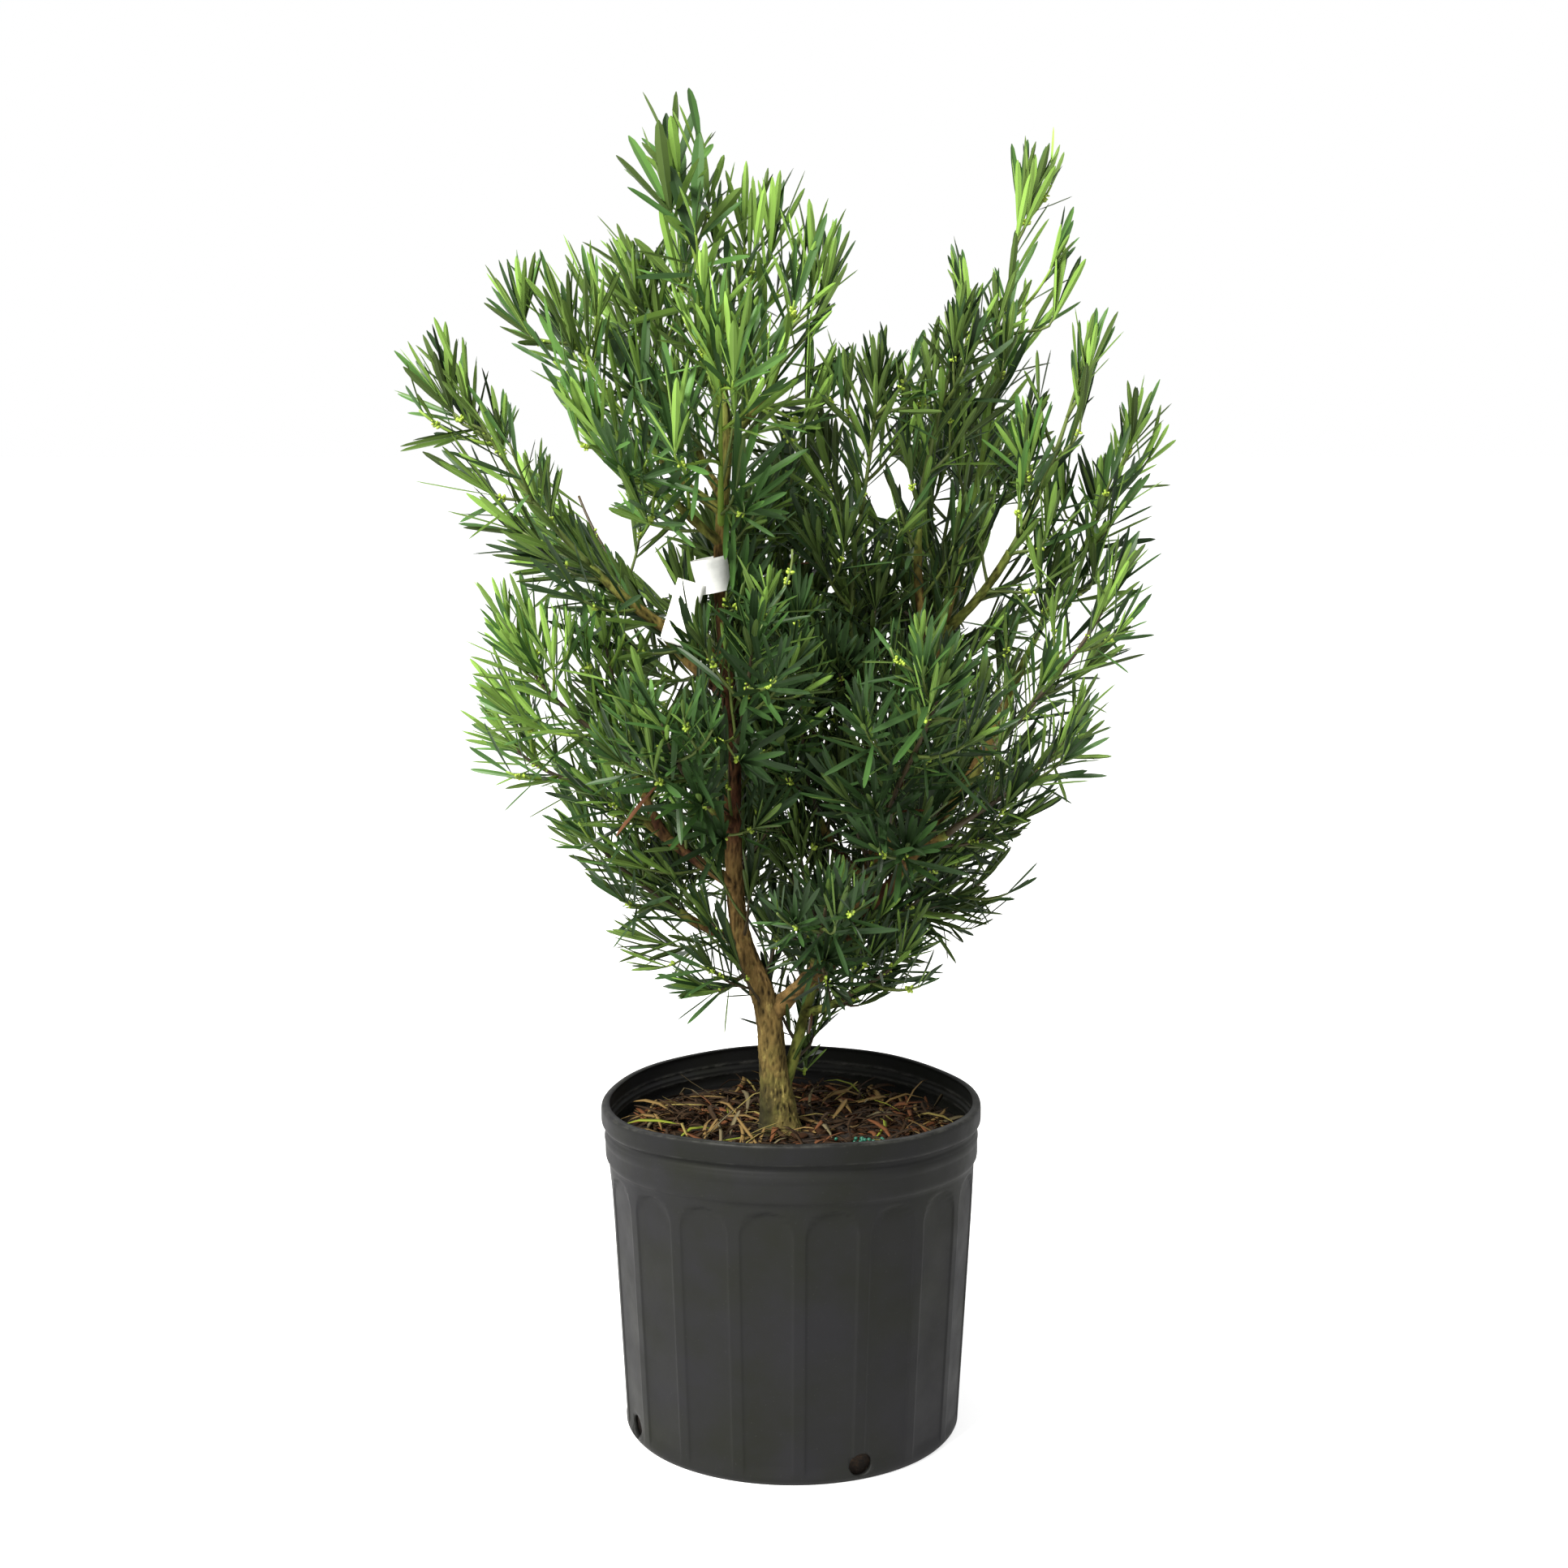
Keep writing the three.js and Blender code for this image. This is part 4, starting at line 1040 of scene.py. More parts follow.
def leaning(axes, leans, turns):
    """Directions that lean from axes by angles, each on the side given by a turn round its axis."""
    axes = np.atleast_2d(axes)
    level = np.where(np.abs(axes[:, 2:]) > 0.9, (1.0, 0, 0), UP)
    side = unit(np.cross(axes, level))
    other = np.cross(axes, side)
    leans, turns = (np.reshape(value, (-1, 1)) for value in (leans, turns))
    out = side * np.cos(turns) + other * np.sin(turns)
    return axes * np.cos(leans) + out * np.sin(leans)


def plan_mass(index, row, limbs):
    """A mass's stem, which runs from its limb towards the furthest leaf and turns up on the way.

    The chain is what the mass's space lies round: the upper part of its bough, its stem and tip.
    """
    bough = limbs[row["name"]] if row["bough"] is not None else None
    on_end = bough is not None or row["height"] is None
    carrier = bough or limbs[row["parent"]]
    start = carrier.point(1 if on_end else share_at_height(carrier, row["height"]))
    leaving = carrier.heading(1) if on_end else leaving_direction(start, row["tip"])
    arriving = unit(unit(row["tip"] - start) + STEM_RISE * UP)
    stem = sweep(start, leaving, row["tip"] - STEM_STOP * row["leaf"] * arriving, arriving)
    shares = np.linspace(0, 1, SPINE_PARTS + 1)
    chain = np.vstack([stem.points(shares), row["tip"]])
    reach = row["spread"] * np.append(1 + (REACH_AT_TIP["stem"] - 1) * shares**2, REACH_AT_TIP["tip"])
    if bough is not None:
        along = np.linspace(REACH_ON_BOUGH["from"], 1, BOUGH_PARTS + 1)[:-1]
        rise = np.linspace(REACH_ON_BOUGH["foot"], 1, BOUGH_PARTS + 1)[:-1]
        chain = np.vstack([bough.points(along), chain])
        reach = np.concatenate([row["spread"] * rise, reach])
    found = {"index": index, "seed": 101 + 17 * index, "stem": stem, "carrier": bough}
    return {**row, **found, "chain": chain, "reach": reach}


def plan_leader(index, limbs):
    """The part of the trunk that carries leafy shoots of its own."""
    trunk = limbs["trunk"]
    low, high = (share_at_height(trunk, LEADER[key]) for key in ("low", "high"))
    chain = trunk.points(np.linspace(low, high, LEADER_POINTS))
    reach = np.full(LEADER_POINTS, LEADER["spread"])
    found = {"name": "leader", "index": index, "seed": LEADER_SEED, "chain": chain, "reach": reach}
    return {**LEADER, **found, "carrier": trunk, "from": low, "to": high}


def grow_shoots(parent, mass, room, random, spacing, sizes, part=(0, 1)):
    """Shoots that leave a parent in turn round it and bend up; the middle ones are the longest.

    part tells between which shares of the parent they stand. Each comes with its own share.
    """
    found = []
    low, high = part
    count = round(parent.length * (high - low) / spacing)
    turn = 2 * math.pi * random()
    for i in range(count):
        share = low + (high - low) * (i + SHOOT_PLACES["first"]) / (count + SHOOT_PLACES["spare"])
        start = parent.point(share)
        axis = parent.heading(share)
        angle = math.radians(random.between(SHOOT_ANGLE_BETWEEN))
        leaving = leaning(axis, angle, turn)[0]
        turn += GOLDEN_ANGLE
        bulge = SHOOT_REACH["ends"] + SHOOT_REACH["bulge"] * share * (1 - share)
        reach = mass["spread"] * bulge * random.between(SHOOT_REACH_BETWEEN)
        arriving = unit(leaving + SHOOT_BEND["up"] * UP + SHOOT_BEND["onward"] * axis)
        heading = unit(leaving + arriving)
        for size in sizes:
            shoot = sweep(start, leaving, start + heading * size * reach, arriving)
            run = shoot.points(SHOOT_PROBES)
            if room.before_sky(run[-1:]).any():
                continue
            if room.inside(run, mass, REACH_OF_SHOOTS).all() and room.clear(run[1:], SHOOT_ROOM).all():
                found.append((shoot, share))
                break
    return found


def grow_sprays(mass):
    """Shoots from the nearest part of a mass's stem or bough to each of its sprays."""
    carriers = [curve for curve in (mass.get("stem"), mass["carrier"]) if curve is not None]
    places = [(curve, share) for curve in carriers for share in SPRAY_STARTS]
    points = np.array([curve.point(share) for curve, share in places])
    found = []
    for base, tip, y in SPRAYS.get(mass["name"], []):
        base, tip = (np.array((x, y, z)) * MM for x, z in (base, tip))
        onward = unit(tip - base)
        foot = base - SPRAY_FOOT * onward
        away = np.linalg.norm(points - foot, axis=1) + SPRAY_DROP * (points[:, 2] > foot[2])
        curve, share = places[int(away.argmin())]
        start = curve.point(share)
        end = tip - mass["leaf"] * onward
        leaving = unit(unit(end - start) + SPRAY_ALONG * curve.heading(share))
        found.append(sweep(start, leaving, end, onward))
    return found


def leaves_fit(roots, blades, mass, room, reach):
    """Which leaves stay in their mass's space, off the limbs and out of the openings."""
    count = len(LEAF_PROBES)
    run = np.stack([roots + part * blades for part in LEAF_PROBES], axis=1).reshape(-1, 3)
    fits = room.inside(run[count - 1 :: count], mass, reach)
    fits &= room.clear(run, LEAF_ROOM).reshape(-1, count).all(1)
    close = (roots[:, None] + CLOSE_PROBES[:, None] * blades[:, None]).reshape(-1, 3)
    sky = room.before_sky(close).reshape(-1, len(CLOSE_PROBES))
    trunk = room.before_trunk(close).reshape(-1, len(CLOSE_PROBES))
    return fits & ~sky[:, FIRST_BEFORE_SKY:].any(1) & ~trunk.any(1)


def leaf_places(curve, random, bare, spacing, tuft):
    """Where leaves stand on a shoot, spaced along it and then in a tuft, and where the tuft begins."""
    count = max(0, int((curve.length - bare) / spacing))
    places = (bare + (np.arange(count) + LEAF_STAGGER * random.random(count)) * spacing) / curve.length
    tuft = tuft or max(TUFT["least"], round(TUFT["leaves"] * LEAF_SPACING / spacing))
    return np.concatenate([np.minimum(places, LAST_LEAF), np.linspace(TUFT["from"], 1, tuft)]), count


def leaf_leans(shares, count, mass, random):
    """How far leaves lean out, less towards the shoot's tip; its tuft begins at a count."""
    foot, tip = LEAF_ANGLE["foot"], LEAF_ANGLE["tip"]
    leans = foot + (tip - foot) * shares ** LEAF_ANGLE["power"]
    leans = leans + scattered(LEAF_ANGLE["jitter"], random, len(shares))
    tuft = len(shares) - count
    leans[count:] = np.linspace(*TUFT["lean"], tuft) + scattered(TUFT["jitter"], random, tuft)
    return np.radians(leans * UPRIGHT.get(mass["name"], 1))


def grow_leaves(curve, mass, tone, random, room, bare, spacing, tuft=None, reach=REACH_OF_LEAVES):
    """Leaves in a spiral along a shoot, each as long as its room allows."""
    shares, count = leaf_places(curve, random, bare, spacing, tuft)
    total = len(shares)
    leans = leaf_leans(shares, count, mass, random)
    turns = 2 * np.pi * random.random() + GOLDEN_ANGLE * np.arange(total)
    axes = curve.headings(shares)
    roots = curve.points(shares)
    directions = unit(leaning(axes, leans, turns) + LEAF_RISE * UP)
    across = unit(np.cross(directions, axes + ACROSS_LEAN * UP))
    lengths = mass["leaf"] * varied(LEAF_LENGTH_VARIES, random, total)
    bulge = np.sin(np.pi * np.clip(shares, *LEAF_LENGTHS["within"]))
    lengths *= LEAF_LENGTHS["ends"] + LEAF_LENGTHS["bulge"] * bulge
    kept = np.zeros(total)
    for size in LEAF_SIZES:
        waiting = np.flatnonzero(kept == 0)
        blades = (size * lengths[waiting])[:, None] * directions[waiting]
        kept[waiting[leaves_fit(roots[waiting], blades, mass, room, reach)]] = size
    found = kept > 0
    jitter = TONE_JITTER["usual"] * np.clip(OPEN_GROWTH.get(mass["name"], 1), 1, TONE_JITTER["most"])
    dead = (random.random(total) < DEAD["share"]) & (shares < DEAD["below"])
    tones = np.where(dead, DEAD["tone"], tone + scattered(jitter, random, total))
    return {
        "root": roots[found],
        "direction": directions[found],
        "across": across[found],
        "length": (lengths * kept)[found],
        "tone": tones[found],
        "broad": np.full(found.sum(), BROAD_LEAVES.get(mass["name"], 1)),
    }


def merge_leaves(groups):
    return {key: np.concatenate([group[key] for group in groups]) for key in groups[0]}


# A leaf's outline: shares of its length, with the half width there as a share of its largest
LEAF_STATIONS = np.array([0, 0.13, 0.45, 0.76, 0.93, 1])
LEAF_WIDTHS = np.array([0.22, 0.54, 0.96, 0.98, 0.62, 0.14])
LEAF_FOLD = 0.2
LEAF_KEEL = 0.35 * MM
RIB_HALF_WIDTH = 0.32 * MM
RIB_RISE = 0.16 * MM
RIB_NARROWS = 0.6
RIB_STATIONS = [0, 2, 4]


def leaf_lines(leaves, random):
    """The midrib points of leaves, with the directions across them and out of their faces."""
    face = np.cross(leaves["across"], leaves["direction"])
    total = len(leaves["root"])
    bow = varied(LEAF_BOW_VARIES, random, total) * leaves["length"]
    sway = scattered(LEAF_SWAY, random, total) * leaves["length"]
    s = LEAF_STATIONS[None, :, None]
    line = leaves["root"][:, None] + s * leaves["length"][:, None, None] * leaves["direction"][:, None]
    line = line - (bow[:, None, None] * s**2) * face[:, None]
    line = line + (sway[:, None, None] * s**2) * leaves["across"][:, None]
    return line, leaves["across"][:, None], face[:, None]


def add_leaves(shape, line, across, face, widths):
    """Closed blades in section: two edges, a groove above and a keel below the midrib.

    The upper side wears the first material, and the lower side the second.
    """
    half = (widths[:, None] / 2 * LEAF_WIDTHS)[..., None]
    left = line - across * half + face * (LEAF_FOLD * half)
    right = line + across * half + face * (LEAF_FOLD * half)
    keel = line - face * (LEAF_KEEL * LEAF_WIDTHS[:, None])
    points = np.stack([line, right, keel, left], axis=2).reshape(-1, 3)
    total, stations = line.shape[:2]
    blade = grid_quads(stations, 4)
    tip = (stations - 1) * 4
    ends = np.array([[0, 1, 2, 3], [tip + 3, tip + 2, tip + 1, tip]])
    quads = np.concatenate([blade[:, ::-1], ends])
    below = np.concatenate([np.tile([0, 1, 1, 0], stations - 1), [1, 1]])
    starts = np.arange(total)[:, None, None] * (4 * stations)
    shape.add(points, (quads[None] + starts).reshape(-1, 4), kinds=np.tile(below, total))


def add_ribs(shape, line, across, face):
    """The pale midrib that stands a little proud along the lower side of each leaf."""
    run = line[:, RIB_STATIONS]
    stations = run.shape[1]
    half = RIB_HALF_WIDTH * np.linspace(1, RIB_NARROWS, stations)[:, None]
    keel = LEAF_KEEL * LEAF_WIDTHS[RIB_STATIONS, None]
    left = run - across * half - face * (0.5 * keel)
    right = run + across * half - face * (0.5 * keel)
    top = run - face * (keel + RIB_RISE)
    points = np.stack([left, top, right], axis=2).reshape(-1, 3)
    step = np.arange(stations - 1)[:, None] * 3
    strip = np.concatenate([step + (3, 4, 1, 0), step + (4, 5, 2, 1)])
    starts = np.arange(len(run))[:, None, None] * (3 * stations)
    shape.add(points, (strip[None] + starts).reshape(-1, 4))


def add_twig(shape, curve, order):
    """A twig that thins towards its tip, with slight swellings."""
    shares = np.linspace(0, 1, max(3, round(curve.length / TWIG_STEP) + 1))
    foot, tip = order["radii"]
    waves = np.sin(TWIG_SWELL["waves"] * shares + curve.length * TWIG_SWELL["phase"])
    swell = 1 + TWIG_SWELL["by"] * waves
    add_tube(shape, curve.points(shares), (foot + (tip - foot) * shares) * swell, order["columns"])


def ball_points(rows, columns):
    """A unit ball of rings, closed at two poles: points and faces."""
    lift = np.linspace(0, np.pi, rows + 2)[1:-1, None]
    rings = ring_points(np.sin(lift), -np.cos(lift), turns_round(columns))
    return closed_rings(rings, [(0, 0, -1), (0, 0, 1)])


def add_balls(shape, ball, centres, radii, stretch, turns):
    """Copies of a ball, each stretched along an axis and turned."""
    points, quads, poles = ball
    for centre, radius, long, turn in zip(centres, radii, stretch, turns):
        shape.add(centre + (points * radius * (1, 1, long)) @ turn.T, quads, poles)


def turn_to(direction):
    """A turn that brings +Z to a direction."""
    return np.array(Vector(direction).to_track_quat("Z", "Y").to_matrix())


# The tones that leaves are dealt out in: below what tone, and the upper and lower colour. The lower colour
# is the paler underside, made lighter still as painted light shining through the leaf
LEAF_TONES = [
    ("leaves_dead", -5, (0.065, 0.025, 0.010), (0.09, 0.045, 0.020)),
    ("leaves_darkest", 0.2, (0.0100, 0.0215, 0.0064), (0.032, 0.051, 0.0125)),
    ("leaves_dark", 0.36, (0.0130, 0.0300, 0.0084), (0.049, 0.081, 0.018)),
    ("leaves_middle", 0.52, (0.0185, 0.0430, 0.0110), (0.075, 0.126, 0.025)),
    ("leaves_light", 0.68, (0.026, 0.063, 0.0140), (0.106, 0.186, 0.034)),
    ("leaves_bright", 0.84, (0.037, 0.088, 0.0180), (0.144, 0.254, 0.045)),
    ("leaves_new", 9.0, (0.054, 0.120, 0.025), (0.190, 0.330, 0.060)),
]
RIB_TONES = [("midribs_dark", 0.44, (0.055, 0.094, 0.024)), ("midribs_light", 9.0, (0.16, 0.26, 0.055))]
LOWEST_TONE = {"leaves": -99, "ribs": -5}
TWIG_TONES = {
    "twigs_young": (0.125, 0.20, 0.022),
    "twigs_green": (0.062, 0.088, 0.016),
    "twigs_old": (0.036, 0.026, 0.011),
}
YOUNG_ABOVE = 0.58
OLD_BELOW = 0.15
OLD_STEMS_BELOW = 620 * MM
# Buds: the share of twigs that bear them, how many stand together, round which part of the twig, how
# far they lean out and stand off; their place on it, radius in millimetres, and length by radius
BUDS = {"share": 0.5, "count": (6, 12), "middle": 0.75, "lean": 1.2, "off": 1.5 * MM}
BUD_PLACE_VARIES = (0.66, 0.16)
BUD_RADIUS_VARIES = (0.8, 0.5)
BUD_LENGTH_VARIES = (1.2, 0.6)
BUD_COLOUR = (0.23, 0.32, 0.032)


def mass_tone(mass, height):
    """How light a mass's leaves are: partly how fresh they are, partly painted shade; on the trunk that goes
    by height.
    """
    if mass["name"] != "leader":
        return mass["tone"]
    share = (height - LEADER["low"]) / (LEADER["high"] - LEADER["low"])
    return LEADER["tone"][0] + (LEADER["tone"][1] - LEADER["tone"][0]) * share


def grow_twigs(mass, room):
    """The twigs of a mass as (curve, order, shade) rows: its stem, its shoots and their twigs."""
    random = Seeded(mass["seed"])
    rows, shoots = [], []
    if "stem" in mass:
        stem = mass["stem"]
        rows.append((stem, STEM, SHADES["stem"]))
        for shoot, share in grow_shoots(stem, mass, room, random, SHOOT_SPACING, SHOOT_SIZES):
            shoots.append((shoot, SHOOT, SHADES["along"] * (share - 0.5)))
    bough = mass["carrier"]
    if bough is not None:
        part = (mass.get("from", REACH_ON_BOUGH["from"]), mass.get("to", 1))
        for shoot, share in grow_shoots(bough, mass, room, random, BOUGH_SHOOT_SPACING, SHOOT_SIZES, part):
            shoots.append((shoot, SHOOT, SHADES["on_bough"]))
    rows += shoots
    spacing = FINE_SPACING * OPEN_GROWTH.get(mass["name"], 1) ** 2
    for parent, order, shade in shoots:
        for twig, share in grow_shoots(parent, mass, room, random, spacing, FINE_SIZES, FINE_PART):
            rows.append((twig, FINE, shade))
    return rows


def grow_mass(mass, room):
    """The twigs of a mass that bear leaves as (curve, order, tone) rows, and its leaves in groups."""
    loose = np.random.default_rng(mass["seed"])
    rows = grow_twigs(mass, room)
    spacing = LEAF_SPACING * OPEN_GROWTH.get(mass["name"], 1)
    twigs, groups = [], []
    sprays = grow_sprays(mass)
    for curve in sprays:
        tone = mass["tone"] + scattered(SHADES["spray"], loose)
        bare = SPRAY_LEAVES["bare"] * curve.length
        fan = (SPRAY_LEAVES["spacing"], SPRAY_LEAVES["tuft"], REACH_OF_SPRAYS)
        groups.append(grow_leaves(curve, mass, tone, loose, room, bare, *fan))
        twigs.append((curve, SHOOT, tone))
    if mass["name"] in LEAFY_BOUGHS:
        bough, bare = mass["carrier"], SHOOT["bare"]
        groups.append(grow_leaves(bough, mass, mass["tone"], loose, room, bare, LEAFY_SPACING))
    for curve, order, shade in rows:
        near = [np.linalg.norm(curve.point(1) - end.point(1)) < SPRAY_ROOM for end in sprays]
        if order is not STEM and any(near):
            continue
        tone = mass_tone(mass, curve.point(0)[2]) + shade + scattered(SHADES["chance"], loose)
        leaves = grow_leaves(curve, mass, tone, loose, room, order["bare"], spacing)
        wanted = (curve.length - order["bare"]) / spacing + TUFT["leaves"]
        if order is STEM or len(leaves["root"]) > LEAFY_SHARE * wanted:
            groups.append(leaves)
            twigs.append((curve, order, tone))
    return twigs, groups


def add_bud_cluster(shape, ball, curve, random):
    """Small buds round a shoot, below its tuft."""
    count = random.integers(*BUDS["count"])
    at = curve.points(varied(BUD_PLACE_VARIES, random, count))
    leans = np.full(count, BUDS["lean"])
    out = leaning(curve.heading(BUDS["middle"]), leans, 2 * np.pi * random.random(count))
    radii = varied(BUD_RADIUS_VARIES, random, count) * MM
    turns = [turn_to(side) for side in out]
    long = varied(BUD_LENGTH_VARIES, random, count)
    add_balls(shape, ball, at + out * BUDS["off"], radii, long, turns)


def twig_kind(curve, order, tone):
    """Which of the twigs' pieces a twig belongs to."""
    if order is STEM and curve.point(0.5)[2] < OLD_STEMS_BELOW or tone < OLD_BELOW:
        return "twigs_old"
    return "twigs_young" if tone > YOUNG_ABOVE else "twigs_green"


def dealt_out(tones, rows, low):
    """Each row's name and colours, with the leaves whose tone lies between the row before and it."""
    for name, high, *colours in rows:
        yield name, colours, (tones >= low) & (tones < high)
        low = high


def dress_leaves(leaves, nodes):
    """The pieces of leaves and midribs, by tone."""
    random = np.random.default_rng(LEAVES_SEED)
    line, across, face = leaf_lines(leaves, random)
    widths = leaves["length"] * LEAF_SLENDERNESS["share"] + LEAF_SLENDERNESS["least"]
    widths = widths * varied(LEAF_WIDTH_VARIES, random, len(widths)) * leaves["broad"]
    widths = widths * np.interp(leaves["root"][:, 2], *zip(*LEAF_BREADTHS))
    for name, (upper, lower), chosen in dealt_out(leaves["tone"], LEAF_TONES, LOWEST_TONE["leaves"]):
        shape = Shape(smooth=False)
        add_leaves(shape, line[chosen], across[chosen], face[chosen], widths[chosen])
        above = plain_material(name, upper, 0.42, 0.14)
        # The lower side: its own paler green, lightened further as painted light shining through
        below = plain_material(name + "_below", lower, 0.5, 0.1)
        add_piece(name, shape, [above, below], "foliage", *nodes)
    for name, (colour,), chosen in dealt_out(leaves["tone"], RIB_TONES, LOWEST_TONE["ribs"]):
        shape = Shape()
        add_ribs(shape, line[chosen], across[chosen], face[chosen])
        add_piece(name, shape, [plain_material(name, colour)], "foliage", *nodes)


def dress_foliage(limbs):
    masses = [plan_mass(index, row, limbs) for index, row in enumerate(BRANCHES + BRANCHLETS)]
    masses.append(plan_leader(len(masses), limbs))
    room = Room(masses, limbs)
    twig_shapes = {name: Shape() for name in TWIG_TONES}
    buds = Shape()
    ball = ball_points(3, 6)
    groups = []
    for mass in masses:
        loose = np.random.default_rng(BUDS_SEED + mass["index"])
        twigs, found = grow_mass(mass, room)
        groups += found
        for curve, order, tone in twigs:
            add_twig(twig_shapes[twig_kind(curve, order, tone)], curve, order)
            if loose.random() < BUDS["share"]:
                add_bud_cluster(buds, ball, curve, loose)
    nodes = ["foliage_" + row["name"] for row in BRANCHES]
    dress_leaves(merge_leaves([group for group in groups if len(group["root"])]), nodes)
    for name, shape in twig_shapes.items():
        add_piece(name, shape, [plain_material(name, TWIG_TONES[name], 0.55)], "foliage", *nodes)
    add_piece("buds", buds, [plain_material("buds", BUD_COLOUR)], "foliage", *nodes)


# ------------------------------------------------------------------ trunk and boughs


# The relief of bark: how fast it changes lengthwise by what it does across, how steep its ridges
# are, and what ridges, finer ridges and lumps add to it at their own scales
BARK_RELIEF = {"lengthwise": 0.28, "steep": 2.6, "lowered": 0.45}
BARK_SHARES = {"ridges": 0.55, "fine": 0.4, "lumps": 0.6}
BARK_SCALES = {"fine": 2.1, "lumps": 0.4}
FINE_SHIFT = Vector((2, 5, 9))
LUMPS_SHIFT = Vector((7, 3, 1))
# Meshes of the bark: columns of points, depth of the relief by the limb's radius, and its scale
TRUNK_BARK = {"columns": 64, "rings": 420, "depth": 0.11, "at_tip": 0.35, "scale": 330}
BOUGH_BARK = {"columns": 16, "step": 3 * MM, "depth": 0.08, "scale": 380}
# Where a bough leaves its parent it swells into a collar, and further on into knots
COLLAR = {"swells": 0.25, "over": 5 * MM, "widest": 5 * MM}
KNOTS = {"swell": 0.08, "apart": 7 * MM, "power": 8}
BOUGH_YOUTH = {"least": 0.3, "tip": 0.9, "power": 1.3}

# Heights on the trunk in metres, each with how young the bark is there
TRUNK_AGES = [
    (0.24, 0.0),
    (0.32, 0.24),
    # Youth near this height falls on the bark row that carries painted sunlight
    (0.41, 0.34),
    (0.46, 0.5),
    (0.60, 0.54),
    (0.66, 0.72),
    (0.74, 0.95),
]
# Boughs whose bark is young for where they stand
GREEN_BOUGHS = {
    "right_lowest": 0.88,
    "right_foot": 0.88,
    "right_high": 0.85,
    "right_outer": 0.6,
    "left_upper": 0.64,
    "left_inner": 0.8,
    "top_left": 0.8,
}


def bark_relief(points, scale):
    """How far bark stands out, from -1 in a crack to 1, at surface points."""
    steep, lowered = BARK_RELIEF["steep"], BARK_RELIEF["lowered"]
    values = np.empty(len(points))
    for i, (x, y, z) in enumerate(points):
        spot = Vector((x * scale, y * scale, z * scale * BARK_RELIEF["lengthwise"]))
        ridge = 1 - steep * abs(noise.noise(spot))
        fine = 1 - steep * abs(noise.noise(spot * BARK_SCALES["fine"] + FINE_SHIFT))
        lumps = noise.noise(spot * BARK_SCALES["lumps"] + LUMPS_SHIFT)
        mixed = BARK_SHARES["ridges"] * ridge + BARK_SHARES["fine"] * fine + BARK_SHARES["lumps"] * lumps
        values[i] = max(-1.0, mixed - lowered)
    return values


def limb_surface(shape, curve, shares, radii, depth, scale, youth):
    """A limb's tube with its bark's relief. radii holds a value for each share and column."""
    points = curve.points(shares)
    columns = radii.shape[1]
    surface = points[:, None] + directions_round(points, columns) * radii[..., None]
    relief = bark_relief(surface.reshape(-1, 3), scale).reshape(radii.shape)
    youth = np.repeat(youth[:, None], columns, 1)
    add_tube(shape, points, radii + depth[:, None] * relief, columns, relief=relief, youth=youth)


def trunk_youth(heights):
    """How young the trunk's bark is at heights."""
    return np.interp(heights, *zip(*TRUNK_AGES))


def dress_trunk(limbs, material):
    """The trunk starts a little below the top of the potting mix."""
    shape = Shape()
    curve = limbs["trunk"]
    foot = share_at_height(curve, SOIL_TOP - TRUNK_SUNK)
    shares = np.linspace(foot, 1, TRUNK_BARK["rings"])
    heights = curve.points(shares)[:, 2]
    radii = trunk_radii(heights, turns_round(TRUNK_BARK["columns"]))
    depth = TRUNK_BARK["depth"] * radii.mean(1) * np.linspace(1, TRUNK_BARK["at_tip"], len(shares))
    limb_surface(shape, curve, shares, radii, depth, TRUNK_BARK["scale"], trunk_youth(heights))
    add_piece("bark_trunk", shape, [material], "bark", "trunk")


def bough_rings(row, along):
    """The radii of a bough's rings at lengths along it, with its collar and knots."""
    if row["parent"] == "trunk":
        parent = trunk_radii(np.array([row["height"]]), np.zeros(1))[0, 0]
    else:
        parent = COLLAR["widest"]
    past = np.maximum(0, along - parent) / COLLAR["over"]
    collar = 1 + COLLAR["swells"] * np.exp(-past)
    waves = np.sin(along / KNOTS["apart"] + row["height"] * 1000)
    knots = 1 + KNOTS["swell"] * waves ** KNOTS["power"]
    return np.minimum(bough_radius(row, along / along[-1]) * collar, parent) * knots


def dress_boughs(limbs, material):
    shape = Shape()
    rows = [row for row in BRANCHES if row["bough"] is not None]
    for row in rows:
        curve = limbs[row["name"]]
        shares = np.linspace(0, 1, max(12, round(curve.length / BOUGH_BARK["step"])))
        rings = bough_rings(row, shares * curve.length)
        radii = np.repeat(rings[:, None], BOUGH_BARK["columns"], 1)
        depth = BOUGH_BARK["depth"] * radii.mean(1)
        start = max(BOUGH_YOUTH["least"], trunk_youth(row["height"]))
        start = GREEN_BOUGHS.get(row["name"], start)
        youth = start + (BOUGH_YOUTH["tip"] - start) * shares ** BOUGH_YOUTH["power"]
        limb_surface(shape, curve, shares, radii, depth, BOUGH_BARK["scale"], youth)
    nodes = ["bough_" + row["name"] for row in rows]
    add_piece("bark_boughs", shape, [material], "bark", *nodes)


# ------------------------------------------------------------------ pot and tag


def smooth_step(value, low=0, over=1):
    """A soft rise from 0 at low to 1 at low + over."""
    value = np.clip((value - low) / over, 0, 1)
    return value * value * (3 - 2 * value)


def peaks(heights, middle, width):
    """A soft peak of 1 round a middle height."""
    return np.exp(-(((heights - middle) / width) ** 2))


def wall_radius(heights):
    foot, top = POT_WALL_FOOT, POT_WALL_TOP
    slope = (top["radius"] - foot["radius"]) / (top["height"] - foot["height"])
    return foot["radius"] + slope * (heights - foot["height"])


